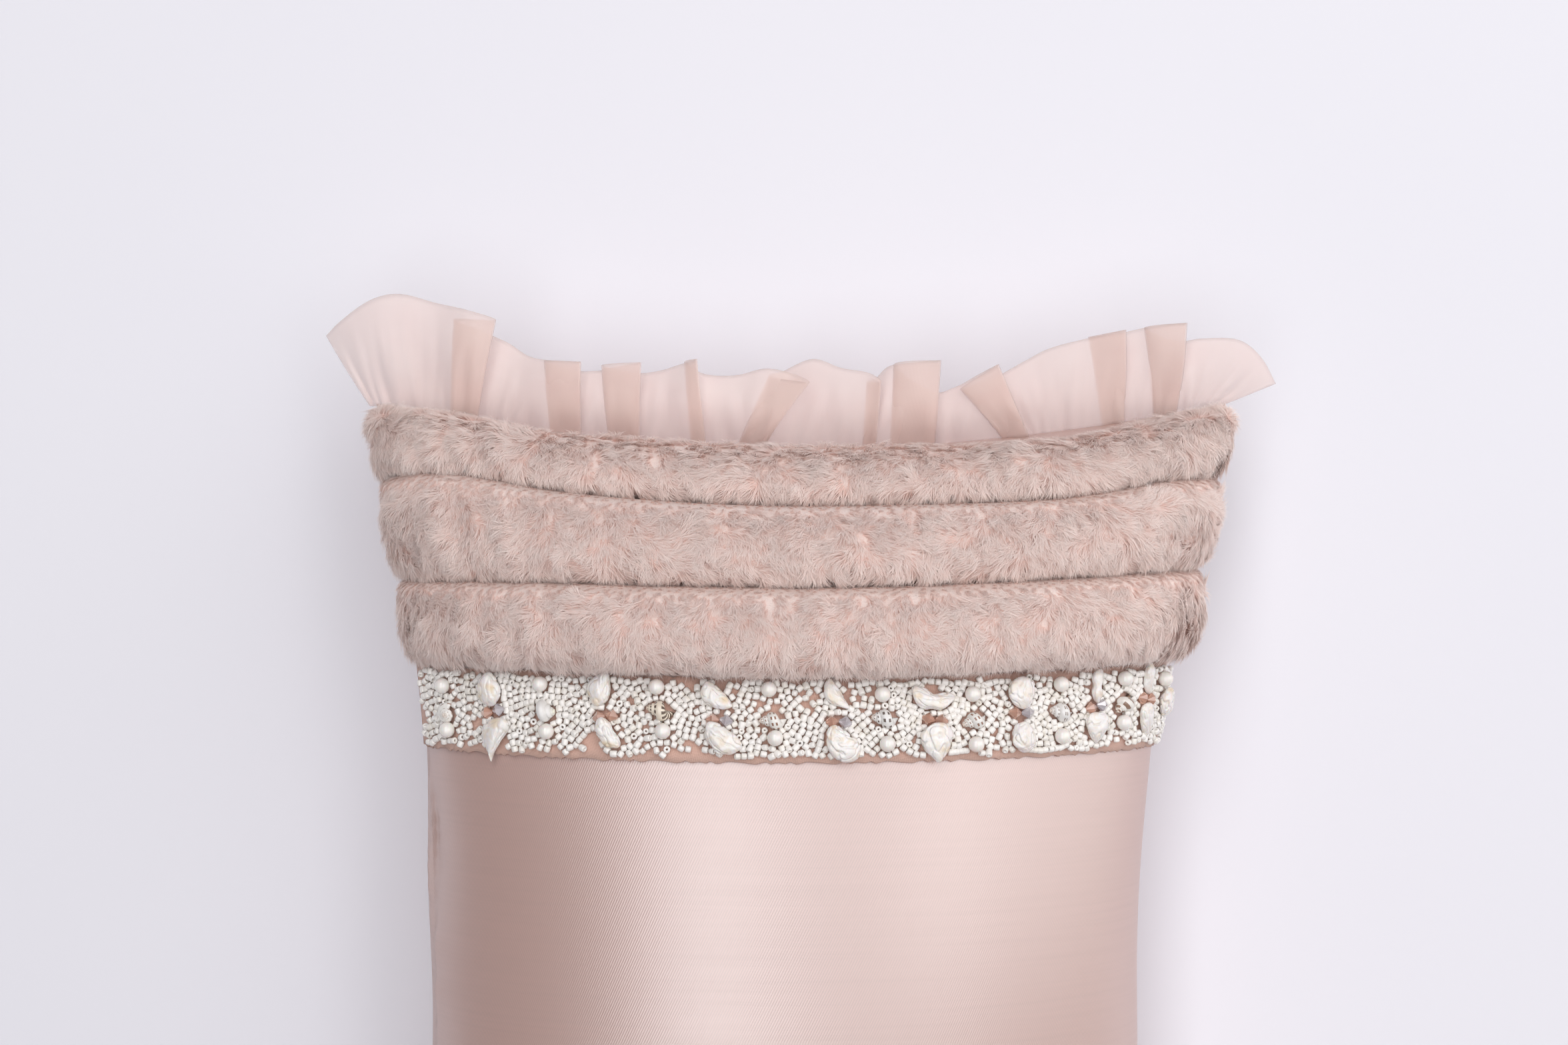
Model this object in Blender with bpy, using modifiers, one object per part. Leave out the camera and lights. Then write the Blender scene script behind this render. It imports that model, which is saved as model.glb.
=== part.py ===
"""Ring bearer pillow: an oblong satin cushion dressed at its head end.

A stuffed satin case carries a gathered organza ruffle in its head seam, three
padded faux-fur rolls below the ruffle, and a band of seed beads with pearls,
nacre chips and small spiral shells.  A concealed zip closes the foot seam.

Frame: +X across the cushion, +Y towards the ruffle, +Z up.  The origin is the
middle of the flat face that the cushion rests on.
"""

import math

import bmesh
import bpy
from mathutils import Matrix, Vector

# ---------------------------------------------------------------- sizes (metres)
CASE_WIDTH = 0.248          # corner to corner across the cushion
CASE_LENGTH = 0.366         # corner to corner along the cushion
PUFF = 0.050                # height of the stuffed crown above the seam line
SEAM_HEIGHT = 0.0445        # seam line above the table at mid length
END_SEAM_HEIGHT = 0.034     # seam line above the table at the two end seams
SIDE_PULL = 0.023           # how far each side draws in at mid length
HEAD_PULL = 0.0133          # how far the head seam draws in at its middle
FOOT_PULL = 0.006           # how far the foot seam draws in at its middle
HEAD_LEAN = 0.005           # sideways lean of the head end as the cushion lies
SEAM_ROLL = 0.24            # radians that the side seams roll round at mid length
CLOTH = 0.0006              # thickness of the satin case
SEAM_SLIT = 0.0015          # gap between the front and the back panel's edges
REST_BEND = 0.0020          # softness of the bend round the resting face

CLEARANCE = 0.0004          # between pieces that lie against each other
INSERT_MARGIN = 0.0015      # between the case and the insert
INSERT_FLOOR = 0.0012       # between the resting face and the insert
INSERT_WIDTH_SHARE = 0.965  # how much of the turn from side to side the insert fills
INSERT_LENGTH_SHARE = 0.935

HEAD_MARGIN = 0.0028        # head seam to the first roll
ROLL_WIDTHS = {"upper": 0.0187, "middle": 0.0253, "lower": 0.0265}
ROLL_CROWNS = {"upper": 0.0160, "middle": 0.0180, "lower": 0.0180}
ROLL_END_CROWN = 0.0055     # height of a roll where it runs into the side seam
ROLL_CREASE = 0.0007        # gap between neighbouring rolls
ROLL_BASE_LIFT = 0.0010     # between the case and a roll's sewn edges
FUR_BACKING = 0.0012        # thickness of the fur cloth
PADDING_MARGIN = 0.0022     # between a roll's outer face and its padding
ROLL_REACH = 0.985          # share of the way to the side seams that a roll covers
PADDING_SHARE = 0.93        # how much of a roll's length and width its padding fills

RUFFLE_DEPTH = 0.0235       # ruffle at the middle of the head seam
RUFFLE_END_DEPTH = 0.0330   # ruffle near the corners
RUFFLE_WAVE = 0.0040        # height of the gathers at the outer edge
RUFFLE_GATHERS = 9
RUFFLE_FAN = math.radians(38)
RUFFLE_REACH = 0.98         # share of the head seam's length that the ruffle covers
ORGANZA = 0.0010            # doubled organza with its folds pressed flat

TAPE_WIDTH = 0.0236
TAPE_THICKNESS = 0.0005
TAPE_LIFT = 0.0007          # between the case and the tape stitched to it
TAPE_REACH = 0.985          # share of the way to the side seams that the tape covers
SEED_REACH = 0.975
SEED_WIDTH = 0.0204
SEED_THICKNESS = 0.0018     # one layer of seed beads
POCKET_FLOOR = 0.0004       # bead layer left under an ornament

PEARL_DIAMETER = 0.0044
CHIP_LENGTH = 0.0092
CHIP_WIDTH = 0.0066
CHIP_THICKNESS = 0.0036
CRYSTAL_GAP = 0.0034        # between an upper and a lower chip, for the crystals
SHELL_LENGTH = 0.0074
SHELL_DIAMETER = 0.0050
SHELL_POCKET_EASE = 1.07    # the shells' pockets are this much larger than the shells
PEARL_GAP = 0.0016          # between a shell and the pearl above or below it

ZIP_LENGTH = 0.170
ZIP_TAPE_WIDTH = 0.0110
ZIP_TAPE_THICKNESS = 0.0005
ZIP_TAPE_MARGIN = 0.0009    # between the case and the tape sewn inside it
ZIP_TAPE_RISE = 0.0006      # how far above the seam line the tape begins
COIL_HEIGHT = 0.0032
COIL_DEPTH = 0.0016
COIL_STEM = 0.0006          # thickness of the web that passes through the slit
COIL_STEM_REACH = 0.0010    # how far the web reaches inside the foot seam
SLIDER_LENGTH = 0.0080
SLIDER_WALL = 0.0010
SLIDER_FLANGE = 0.0008
SLIDER_STANDOFF = 0.0009    # between the foot seam and the slider's flanges
ZIP_RUN = 0.0004            # running clearance of the slider on the coil
STOP_LENGTH = 0.0020
STOP_GAP = 0.0005           # between the slider at rest and its stop
PULL_LENGTH = 0.0200
PULL_WIDTH = 0.0060
PULL_THICKNESS = 0.0010
PULL_NECK = 0.15            # share of the pull's length before it begins to widen
PIN_RADIUS = 0.0006
KNUCKLE_WALL = 0.0009       # metal round the pull's bore
EAR_THICKNESS = 0.0008
EAR_SINK = 0.0003           # how deep the ears run into the slider's face

# Places of the ornament columns across the cushion, from the left side seam (-1)
# to the right one (1).  Shell columns and chip columns alternate.
COLUMNS = (-0.79, -0.66, -0.535, -0.42, -0.32, -0.222, -0.137, -0.03,
           0.045, 0.128, 0.20, 0.29, 0.376, 0.464, 0.545, 0.645)

# Each chip: turn about the cushion's normal in degrees, bend and taper.
CHIP_SHAPES = {
    "upper": ((8, 0.10, 0.05), (-18, 0.25, -0.20), (48, 0.20, 0.30), (38, 0.30, 0.10),
              (-70, 0.35, 0.25), (15, 0.10, -0.25), (-25, 0.40, 0.10), (-12, 0.30, 0.20)),
    "lower": ((-14, 0.40, 0.35), (28, 0.25, 0.10), (35, 0.30, 0.35), (32, 0.20, 0.30),
              (-8, 0.15, -0.30), (5, 0.10, -0.15), (-30, 0.25, 0.10), (10, 0.20, 0.30)),
}
SHELL_TURNS = (20, 160, 175, 190, 165, 205, 170, 215)

# ---------------------------------------------------------------- facet counts
ACROSS = 24
ALONG = 18
BACK_ACROSS = 20
ROLL_COLUMNS = 20
ROLL_ROWS = 8
PADDING_ROWS = 4
ROUND_STEPS = 8
STONE_RINGS = 5
PIN_STEPS = 12

# ---------------------------------------------------------------- exponents of the form
CROWN_POWER = 2.5           # along the cushion, for the crown and for the sides
CROWN_FULLNESS = 0.6
HEAD_CURVE = 1.8
FOOT_CURVE = 8
DOME_POWER = 2.6            # across a roll
ROLL_CROWN_POWER = 3        # along a roll

HALF_LENGTH = CASE_LENGTH / 2
HALF_WIDTH = CASE_WIDTH / 2

COLLECTION = bpy.data.collections.new("ring_bearer_pillow")
CUTTERS = bpy.data.collections.new("pillow_cutters")
POCKETS = bpy.data.collections.new("ornament_pockets")
SLIDER_PARTS = bpy.data.collections.new("slider_ears_and_pin")
KNUCKLES = bpy.data.collections.new("pull_knuckles")


# ---------------------------------------------------------------- the cushion's form
def half_width(v):
    return HALF_WIDTH - SIDE_PULL * (1 - abs(v) ** CROWN_POWER)


def crown(v):
    return PUFF * max(0.0, 1 - abs(v) ** CROWN_POWER) ** CROWN_FULLNESS


def seam_height(v):
    return END_SEAM_HEIGHT + (SEAM_HEIGHT - END_SEAM_HEIGHT) * (1 - v * v)


def lean(v):
    return HEAD_LEAN * max(v, 0.0) ** 2


def end_pull(v, x_share):
    if v > 0:
        return -HEAD_PULL * v ** 3 * (1 - abs(x_share) ** HEAD_CURVE)
    return -FOOT_PULL * v ** 3 * (1 - abs(x_share) ** FOOT_CURVE)


def rested(height, floor):
    """The height, pressed flat on the floor with a soft bend where it leaves it."""
    above = height - floor
    if above < -REST_BEND:
        return floor
    if above < REST_BEND:
        return floor + (above + REST_BEND) ** 2 / (4 * REST_BEND)
    return height


def case_point(u, v, side, inset=0.0, floor=0.0):
    """Point of the case at u (side seam to side seam) and v (foot to head)."""
    turn = math.pi * u / 2 + side * SEAM_ROLL * (1 - v * v)
    x_share = math.sin(turn)
    x = lean(v) + (half_width(v) - inset) * x_share
    y = HALF_LENGTH * v + end_pull(v, x_share)
    rise = SEAM_SLIT / 2 + max(crown(v) - inset, 0.0) * math.cos(turn)
    return Vector((x, y, rested(seam_height(v) + side * rise, floor)))


def front_frame(u, v):
    """Point of the front and its directions across, along and out of the cloth."""
    step = 1e-4
    inner_u = max(-1 + step, min(1 - step, u))
    inner_v = max(-1 + step, min(1 - step, v))
    across = case_point(inner_u + step, v, 1) - case_point(inner_u - step, v, 1)
    along = case_point(u, inner_v + step, 1) - case_point(u, inner_v - step, 1)
    across.normalize()
    out = across.cross(along).normalized()
    return case_point(u, v, 1), across, out.cross(across), out


def lifted(u, v, lift):
    point, _, _, out = front_frame(u, v)
    return point + lift * out


def from_head(distance):
    """v at a distance from the head seam, measured along the flat case."""
    return 1 - distance / HALF_LENGTH


# ---------------------------------------------------------------- places along the front
ROLL_STARTS = {}
_reach = HEAD_MARGIN
for _name, _width in ROLL_WIDTHS.items():
    ROLL_STARTS[_name] = _reach
    _reach += _width
ROLLS_END = _reach

CHIP_ROW = (CRYSTAL_GAP + CHIP_LENGTH) / 2
CHIP_REACH = CHIP_ROW + CHIP_LENGTH / 2
BAND_LINE = ROLLS_END + 2 * CLEARANCE + max(TAPE_WIDTH / 2, CHIP_REACH)
TAPE_TOP = TAPE_LIFT + TAPE_THICKNESS
SEED_BOTTOM = TAPE_TOP + CLEARANCE
SEED_TOP = SEED_BOTTOM + SEED_THICKNESS
ORNAMENT_SEAT = SEED_BOTTOM + POCKET_FLOOR + CLEARANCE

# ---------------------------------------------------------------- places along the zip
FOOT_LINE = -HALF_LENGTH + FOOT_PULL
FLANGE_OUT = FOOT_LINE - SLIDER_STANDOFF
COIL_IN = FLANGE_OUT - SLIDER_FLANGE - ZIP_RUN
COIL_OUT = COIL_IN - COIL_DEPTH
SLIDER_FACE = COIL_OUT - ZIP_RUN - SLIDER_WALL
KNUCKLE_RADIUS = PIN_RADIUS + ZIP_RUN + KNUCKLE_WALL
PIN_Y = SLIDER_FACE - KNUCKLE_RADIUS - ZIP_RUN
SLIDER_REST_X = ZIP_LENGTH / 2 - STOP_LENGTH - SLIDER_LENGTH / 2 - STOP_GAP


# ---------------------------------------------------------------- helpers
def clear_scene():
    for old in list(bpy.data.objects):
        bpy.data.objects.remove(old, do_unlink=True)


def make_material(name, colour, roughness, metallic=0.0):
    material = bpy.data.materials.new(name)
    material.use_nodes = True
    shader = material.node_tree.nodes["Principled BSDF"]
    shader.inputs["Base Color"].default_value = (*colour, 1.0)
    shader.inputs["Roughness"].default_value = roughness
    shader.inputs["Metallic"].default_value = metallic
    material.diffuse_color = (*colour, 1.0)
    return material


def new_object(name, mesh, material, collection=COLLECTION):
    obj = bpy.data.objects.new(name, mesh)
    if material:
        mesh.materials.append(material)
    collection.objects.link(obj)
    mesh.shade_smooth()
    mesh.set_sharp_from_angle(angle=math.radians(35))
    return obj


def mesh_from(bm, name):
    mesh = bpy.data.meshes.new(name)
    bm.to_mesh(mesh)
    bm.free()
    return mesh


def sheet(name, columns, rows, place, material, thickness, offset=-1.0, flip=False):
    """A grid laid on a curved surface by place(a, b), given a cloth thickness."""
    bm = bmesh.new()
    bmesh.ops.create_grid(bm, x_segments=columns, y_segments=rows, size=1.0)
    for vert in bm.verts:
        vert.co = place(vert.co.x, vert.co.y)
    if flip:
        bmesh.ops.reverse_faces(bm, faces=bm.faces)
    obj = new_object(name, mesh_from(bm, name), material)
    solidify = obj.modifiers.new("cloth thickness", "SOLIDIFY")
    solidify.thickness = thickness
    solidify.offset = offset
    return obj


def block(name, columns, rows, place, material, collection=COLLECTION):
    """A cube divided in two directions and bent by place(a, b, c)."""
    bm = bmesh.new()
    bmesh.ops.create_cube(bm, size=2.0)
    for axis, parts in ((0, columns), (1, rows)):
        edges = [e for e in bm.edges if abs(e.verts[0].co[axis] - e.verts[1].co[axis]) > 1]
        if parts > 1:
            bmesh.ops.subdivide_edges(bm, edges=edges, cuts=parts - 1, use_grid_fill=True)
    for vert in bm.verts:
        vert.co = place(*vert.co)
    bmesh.ops.recalc_face_normals(bm, faces=bm.faces)
    return new_object(name, mesh_from(bm, name), material, collection)


def prism(name, outline, length, material, collection=COLLECTION):
    """An outline in the Y-Z plane, extruded along X."""
    curve = bpy.data.curves.new(name, "CURVE")
    curve.dimensions = "2D"
    curve.fill_mode = "BOTH"
    curve.extrude = length / 2
    spline = curve.splines.new("POLY")
    spline.points.add(len(outline) - 1)
    for point, (y, z) in zip(spline.points, outline):
        point.co = (y, z, 0.0, 1.0)
    spline.use_cyclic_u = True
    if material:
        curve.materials.append(material)
    obj = bpy.data.objects.new(name, curve)
    obj.rotation_euler = (math.pi / 2, 0.0, math.pi / 2)
    collection.objects.link(obj)
    return obj


def as_mesh(obj, collection=COLLECTION):
    """The curve object as a welded mesh object of the same name and place."""
    bpy.context.view_layer.update()
    graph = bpy.context.evaluated_depsgraph_get()
    mesh = bpy.data.meshes.new_from_object(obj.evaluated_get(graph))
    bm = bmesh.new()
    bm.from_mesh(mesh)
    bmesh.ops.remove_doubles(bm, verts=bm.verts, dist=1e-6)
    bmesh.ops.recalc_face_normals(bm, faces=bm.faces)
    bm.to_mesh(mesh)
    bm.free()
    place = obj.matrix_world.copy()
    name = obj.name
    bpy.data.objects.remove(obj, do_unlink=True)
    solid = bpy.data.objects.new(name, mesh)
    solid.matrix_world = place
    collection.objects.link(solid)
    return solid


def make_cutter(obj):
    obj.hide_render = True
    obj.display_type = "WIRE"


def boolean(obj, operation, collection):
    cut = obj.modifiers.new(collection.name, "BOOLEAN")
    cut.operation = operation
    cut.operand_type = "COLLECTION"
    cut.collection = collection
    cut.solver = "EXACT"


def power_root(share, power):
    return math.sqrt(max(0.0, 1 - abs(share) ** power))


# ---------------------------------------------------------------- case and insert
def end_spaced(share):
    """Rows closer together towards the two ends."""
    return math.sin(math.pi * share / 2)


def make_case(satin, satin_back):
    sheet("front_panel", ACROSS, ALONG,
          lambda a, b: case_point(a, end_spaced(b), 1), satin, CLOTH)
    sheet("back_panel", BACK_ACROSS, ALONG,
          lambda a, b: case_point(a, end_spaced(b), -1), satin_back, CLOTH, flip=True)


def make_insert(ticking):
    inset = CLOTH + INSERT_MARGIN
    floor = CLOTH + INSERT_FLOOR

    def place(a, b, c):
        side = 1 if c > 0 else -1
        v = INSERT_LENGTH_SHARE * end_spaced(b)
        return case_point(INSERT_WIDTH_SHARE * a, v, side, inset, floor)

    block("pillow_insert", BACK_ACROSS, ALONG, place, ticking)


# ---------------------------------------------------------------- fur rolls
def roll_span(name):
    start = ROLL_STARTS[name] + ROLL_CREASE / 2
    end = ROLL_STARTS[name] + ROLL_WIDTHS[name] - ROLL_CREASE / 2
    return from_head((start + end) / 2), (end - start) / CASE_LENGTH


def roll_crown(name, a):
    """Height of the roll along its length: full in the middle, low at the seams."""
    return ROLL_END_CROWN + (ROLL_CROWNS[name] - ROLL_END_CROWN) * (1 - abs(a) ** ROLL_CROWN_POWER)


def make_roll(name, fur, padding):
    middle, half_span = roll_span(name)
    padding_span = half_span - PADDING_MARGIN / HALF_LENGTH
    bottom = ROLL_BASE_LIFT + CLEARANCE

    def skin(a, b):
        s = end_spaced(b)
        lift = ROLL_BASE_LIFT + roll_crown(name, a) * power_root(s, DOME_POWER)
        return lifted(ROLL_REACH * a, middle + half_span * s, lift)

    def filling(a, b, c):
        along = PADDING_SHARE * a
        s = PADDING_SHARE * b
        top = roll_crown(name, along) - PADDING_MARGIN - bottom
        lift = bottom + (top * power_root(s, DOME_POWER) if c > 0 else 0.0)
        return lifted(ROLL_REACH * along, middle + padding_span * s, lift)

    sheet(f"fur_roll_{name}", ROLL_COLUMNS, ROLL_ROWS, skin, fur, FUR_BACKING)
    block(f"roll_padding_{name}", ROLL_COLUMNS, PADDING_ROWS, filling, padding)


# ---------------------------------------------------------------- ruffle
def make_ruffle(organza):
    def place(a, b):
        outward = (b + 1) / 2
        x_share = RUFFLE_REACH * a
        x = lean(1) + HALF_WIDTH * x_share
        y = HALF_LENGTH + end_pull(1, x_share) + CLEARANCE
        fan = math.copysign(RUFFLE_FAN * abs(a) ** 6, a)
        depth = RUFFLE_DEPTH + (RUFFLE_END_DEPTH - RUFFLE_DEPTH) * a ** 4
        reach = outward * depth
        wave = RUFFLE_WAVE * outward * math.sin(math.pi * RUFFLE_GATHERS * a)
        return Vector((x + reach * math.sin(fan), y + reach * math.cos(fan), END_SEAM_HEIGHT + wave))

    sheet("organza_ruffle", 6 * RUFFLE_GATHERS, 2, place, organza, ORGANZA, offset=0.0)


# ---------------------------------------------------------------- bead band
def strip(name, width, bottom, top, rows, material, reach):
    """A flat layer of the band, curved with the front of the case."""
    middle = from_head(BAND_LINE)
    half_span = width / CASE_LENGTH

    def place(a, b, c):
        return lifted(reach * a, middle + half_span * b, top if c > 0 else bottom)

    return block(name, ACROSS, rows, place, material)


def ornament_matrix(u, offset, lift, turn=0.0):
    point, across, along, out = front_frame(u, from_head(BAND_LINE - offset))
    place = Matrix((across, along, out)).transposed().to_4x4()
    place.translation = point + lift * out
    return place @ Matrix.Rotation(turn, 4, "Z")


def round_stone(name, half_sizes, bend, taper, place, material, collection):
    """A ball of three half sizes, bent and tapered along its length."""
    bm = bmesh.new()
    bmesh.ops.create_uvsphere(bm, u_segments=ROUND_STEPS, v_segments=STONE_RINGS, radius=1.0)
    half_x, half_y, half_z = half_sizes
    for vert in bm.verts:
        x, y, z = vert.co
        bent = bend * half_x * (y * y - 0.4)
        vert.co = (x * half_x * (1 + taper * y) + bent, y * half_y, z * half_z)
    obj = new_object(name, mesh_from(bm, name), material, collection)
    obj.matrix_world = place
    if collection is not COLLECTION:
        make_cutter(obj)
    return obj


def seated_stone(name, sizes, bend, taper, u, offset, turn, material):
    """An ornament and the pocket that holds it in the bead layer."""
    half_sizes = [size / 2 for size in sizes]
    place = ornament_matrix(u, offset, ORNAMENT_SEAT + half_sizes[2], turn)
    round_stone(name, half_sizes, bend, taper, place, material, COLLECTION)
    pocket = [half + CLEARANCE for half in half_sizes]
    round_stone(f"pocket_{name}", pocket, bend, taper, place, None, POCKETS)


def make_shell(name, u, turn, material):
    """A small turbo shell: a stepped profile turned about its own length."""
    length = SHELL_LENGTH / 2
    radius = SHELL_DIAMETER / 2
    profile = ((0.0, 1.0), (0.25, 0.82), (0.42, 0.52), (0.72, 0.30),
               (0.98, -0.10), (0.84, -0.50), (0.42, -0.88), (0.0, -1.0))
    bm = bmesh.new()
    verts = [bm.verts.new((radius * r, 0.0, length * h)) for r, h in profile]
    for first, second in zip(verts, verts[1:]):
        bm.edges.new((first, second))
    obj = new_object(name, mesh_from(bm, name), material)
    screw = obj.modifiers.new("turned shell", "SCREW")
    screw.steps = ROUND_STEPS
    screw.render_steps = ROUND_STEPS
    screw.use_merge_vertices = True
    screw.merge_threshold = 1e-5
    screw.use_normal_calculate = True
    place = ornament_matrix(u, 0.0, ORNAMENT_SEAT + radius, math.radians(turn))
    obj.matrix_world = place @ Matrix.Rotation(math.pi / 2, 4, "Y")
    pocket = [SHELL_POCKET_EASE * (half + CLEARANCE) for half in (length, radius, radius)]
    round_stone(f"pocket_{name}", pocket, 0.0, 0.0, place, None, POCKETS)


def make_band(net, seed, pearl, nacre, shell):
    strip("bead_tape", TAPE_WIDTH, TAPE_LIFT, TAPE_TOP, 3, net, TAPE_REACH)
    field = strip("seed_bead_field", SEED_WIDTH, SEED_BOTTOM, SEED_TOP, 2, seed, SEED_REACH)
    boolean(field, "DIFFERENCE", POCKETS)
    pearl_sizes = (PEARL_DIAMETER,) * 3
    chip_sizes = (CHIP_WIDTH, CHIP_LENGTH, CHIP_THICKNESS)
    pearl_row = (SHELL_DIAMETER + PEARL_DIAMETER) / 2 + PEARL_GAP
    for index, u in enumerate(COLUMNS):
        number = index // 2 + 1
        if index % 2 == 0:
            make_shell(f"spiral_shell_{number}", u, SHELL_TURNS[number - 1], shell)
        for row, sign in (("upper", 1), ("lower", -1)):
            if index % 2 == 0:
                seated_stone(f"pearl_{row}_{number}", pearl_sizes, 0.0, 0.0,
                             u, sign * pearl_row, 0.0, pearl)
            else:
                turn, bend, taper = CHIP_SHAPES[row][number - 1]
                seated_stone(f"nacre_chip_{row}_{number}", chip_sizes, bend, taper,
                             u, sign * CHIP_ROW, math.radians(turn), nacre)


# ---------------------------------------------------------------- zip in the foot seam
def make_zip_tape(name, side, material):
    """A tape sewn inside one panel, next to the foot seam."""
    near = CLOTH + ZIP_TAPE_MARGIN
    half_x_share = ZIP_LENGTH / CASE_WIDTH

    def place(a, b, c):
        height = (b + 1) / 2 * ZIP_TAPE_WIDTH
        inward = near + (ZIP_TAPE_THICKNESS if c < 0 else 0.0)
        rise = (ZIP_TAPE_RISE + height) / PUFF
        v = -(max(0.0, 1 - rise ** (1 / CROWN_FULLNESS))) ** (1 / CROWN_POWER)
        u = 2 / math.pi * math.asin(half_x_share * a)
        step = 1e-5
        point = case_point(u, v, side)
        slope = case_point(u, v + step, side) - case_point(u, v - step, side)
        across = Vector((1.0, 0.0, 0.0))
        out = side * across.cross(slope).normalized()
        return point - inward * out

    block(name, 12, 4, place, material)


def make_zip(tape, coil, metal):
    make_zip_tape("zip_tape_front", 1, tape)
    make_zip_tape("zip_tape_back", -1, tape)
    z = END_SEAM_HEIGHT
    stem = COIL_STEM / 2
    half_coil = COIL_HEIGHT / 2
    stem_in = FOOT_LINE + COIL_STEM_REACH
    outline = ((stem_in, z + stem), (COIL_IN, z + stem), (COIL_IN, z + half_coil),
               (COIL_OUT, z + half_coil), (COIL_OUT, z - half_coil),
               (COIL_IN, z - half_coil), (COIL_IN, z - stem), (stem_in, z - stem))
    prism("zip_chain", outline, ZIP_LENGTH, coil)

    inner_z = half_coil + ZIP_RUN
    outer_z = inner_z + SLIDER_WALL
    slot_z = stem + ZIP_RUN
    cavity_y = COIL_OUT - ZIP_RUN
    flange_in = COIL_IN + ZIP_RUN
    channel = ((FLANGE_OUT, z + slot_z), (FLANGE_OUT, z + outer_z), (SLIDER_FACE, z + outer_z),
               (SLIDER_FACE, z - outer_z), (FLANGE_OUT, z - outer_z), (FLANGE_OUT, z - slot_z),
               (flange_in, z - slot_z), (flange_in, z - inner_z), (cavity_y, z - inner_z),
               (cavity_y, z + inner_z), (flange_in, z + inner_z), (flange_in, z + slot_z))
    slider = as_mesh(prism("zip_slider", channel, SLIDER_LENGTH, metal))
    slider.location.x = SLIDER_REST_X

    knuckle_half = PULL_WIDTH / 4
    make_pin_and_ears(knuckle_half + ZIP_RUN, z)
    boolean(slider, "UNION", SLIDER_PARTS)
    make_pull(knuckle_half, z, metal)
    make_stops(z, half_coil, metal)


def box(name, low, high, material, collection=COLLECTION):
    """A plain block between two opposite corners."""
    middle = (Vector(low) + Vector(high)) / 2
    half = (Vector(high) - Vector(low)) / 2
    return block(name, 1, 1, lambda a, b, c: middle + half * Vector((a, b, c)), material, collection)


def rod(name, radius, depth, centre, collection):
    """A round rod along Z that cuts another part or joins it."""
    bm = bmesh.new()
    bmesh.ops.create_cone(bm, cap_ends=True, segments=PIN_STEPS,
                          radius1=radius, radius2=radius, depth=depth)
    obj = new_object(name, mesh_from(bm, name), None, collection)
    obj.location = centre
    make_cutter(obj)


def make_pin_and_ears(ear_in, z):
    """The pin that carries the pull, between two ears of the slider."""
    reach = 2 * PIN_RADIUS
    for name, low, high in (("slider_ear_front", z + ear_in, z + ear_in + EAR_THICKNESS),
                            ("slider_ear_back", z - ear_in - EAR_THICKNESS, z - ear_in)):
        ear = box(name, (SLIDER_REST_X - reach, PIN_Y - reach, low),
                  (SLIDER_REST_X + reach, SLIDER_FACE + EAR_SINK, high), None, SLIDER_PARTS)
        make_cutter(ear)
    rod("slider_pin", PIN_RADIUS, 2 * ear_in + EAR_THICKNESS, (SLIDER_REST_X, PIN_Y, z), SLIDER_PARTS)


def make_pull(knuckle_half, z, metal):
    """The pull: a flat tab that widens away from a round knuckle, bored for the pin."""
    def place(a, b, c):
        along = (a + 1) / 2
        spread = min(1.0, max(0.0, (along - PULL_NECK) / PULL_NECK))
        width = knuckle_half + (PULL_WIDTH / 2 - knuckle_half) * spread
        return Vector((-along * PULL_LENGTH, b * PULL_THICKNESS / 2, c * width))

    pull = block("zip_pull", 20, 1, place, metal)
    pull.location = (SLIDER_REST_X, PIN_Y, z)
    rod("pull_knuckle", KNUCKLE_RADIUS, 2 * knuckle_half, pull.location, KNUCKLES)
    rod("pull_bore", PIN_RADIUS + ZIP_RUN, 2 * PULL_WIDTH, pull.location, CUTTERS)
    boolean(pull, "UNION", KNUCKLES)
    boolean(pull, "DIFFERENCE", CUTTERS)


def make_stops(z, half_coil, metal):
    """A small metal stop on the coil at each end of the zip."""
    near = COIL_OUT - CLEARANCE
    for name, sign in (("zip_top_stop", 1), ("zip_bottom_stop", -1)):
        x = sign * (ZIP_LENGTH - STOP_LENGTH) / 2
        box(name, (x - STOP_LENGTH / 2, near - SLIDER_WALL, z - half_coil),
            (x + STOP_LENGTH / 2, near, z + half_coil), metal)


# ---------------------------------------------------------------- build
def main():
    clear_scene()
    scene = bpy.context.scene
    scene.unit_settings.system = "METRIC"
    scene.unit_settings.scale_length = 1.0
    for collection in (COLLECTION, CUTTERS, POCKETS, SLIDER_PARTS, KNUCKLES):
        scene.collection.children.link(collection)

    satin = make_material("dusty_pink_satin", (0.62, 0.42, 0.39), 0.35)
    satin_back = make_material("dusty_pink_backing_satin", (0.55, 0.40, 0.38), 0.45)
    ticking = make_material("white_cotton_ticking", (0.85, 0.83, 0.80), 0.90)
    fur = make_material("dusty_pink_plush_fur", (0.66, 0.46, 0.43), 0.95)
    wadding = make_material("white_polyester_wadding", (0.90, 0.90, 0.88), 0.95)
    organza = make_material("blush_organza", (0.86, 0.68, 0.63), 0.45)
    net = make_material("rose_net_tape", (0.50, 0.28, 0.23), 0.80)
    seed = make_material("white_lustre_seed_beads", (0.90, 0.88, 0.84), 0.20)
    pearl = make_material("ivory_pearl", (0.88, 0.85, 0.80), 0.15)
    nacre = make_material("cream_nacre", (0.86, 0.80, 0.70), 0.22)
    shell = make_material("banded_shell", (0.80, 0.72, 0.64), 0.35)
    tape = make_material("rose_zip_tape", (0.52, 0.34, 0.32), 0.80)
    coil = make_material("rose_nylon_coil", (0.55, 0.36, 0.34), 0.45)
    metal = make_material("nickel_plated_metal", (0.75, 0.73, 0.70), 0.25, 1.0)

    make_case(satin, satin_back)
    make_insert(ticking)
    for name in ROLL_WIDTHS:
        make_roll(name, fur, wadding)
    make_ruffle(organza)
    make_band(net, seed, pearl, nacre, shell)
    make_zip(tape, coil, metal)


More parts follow.
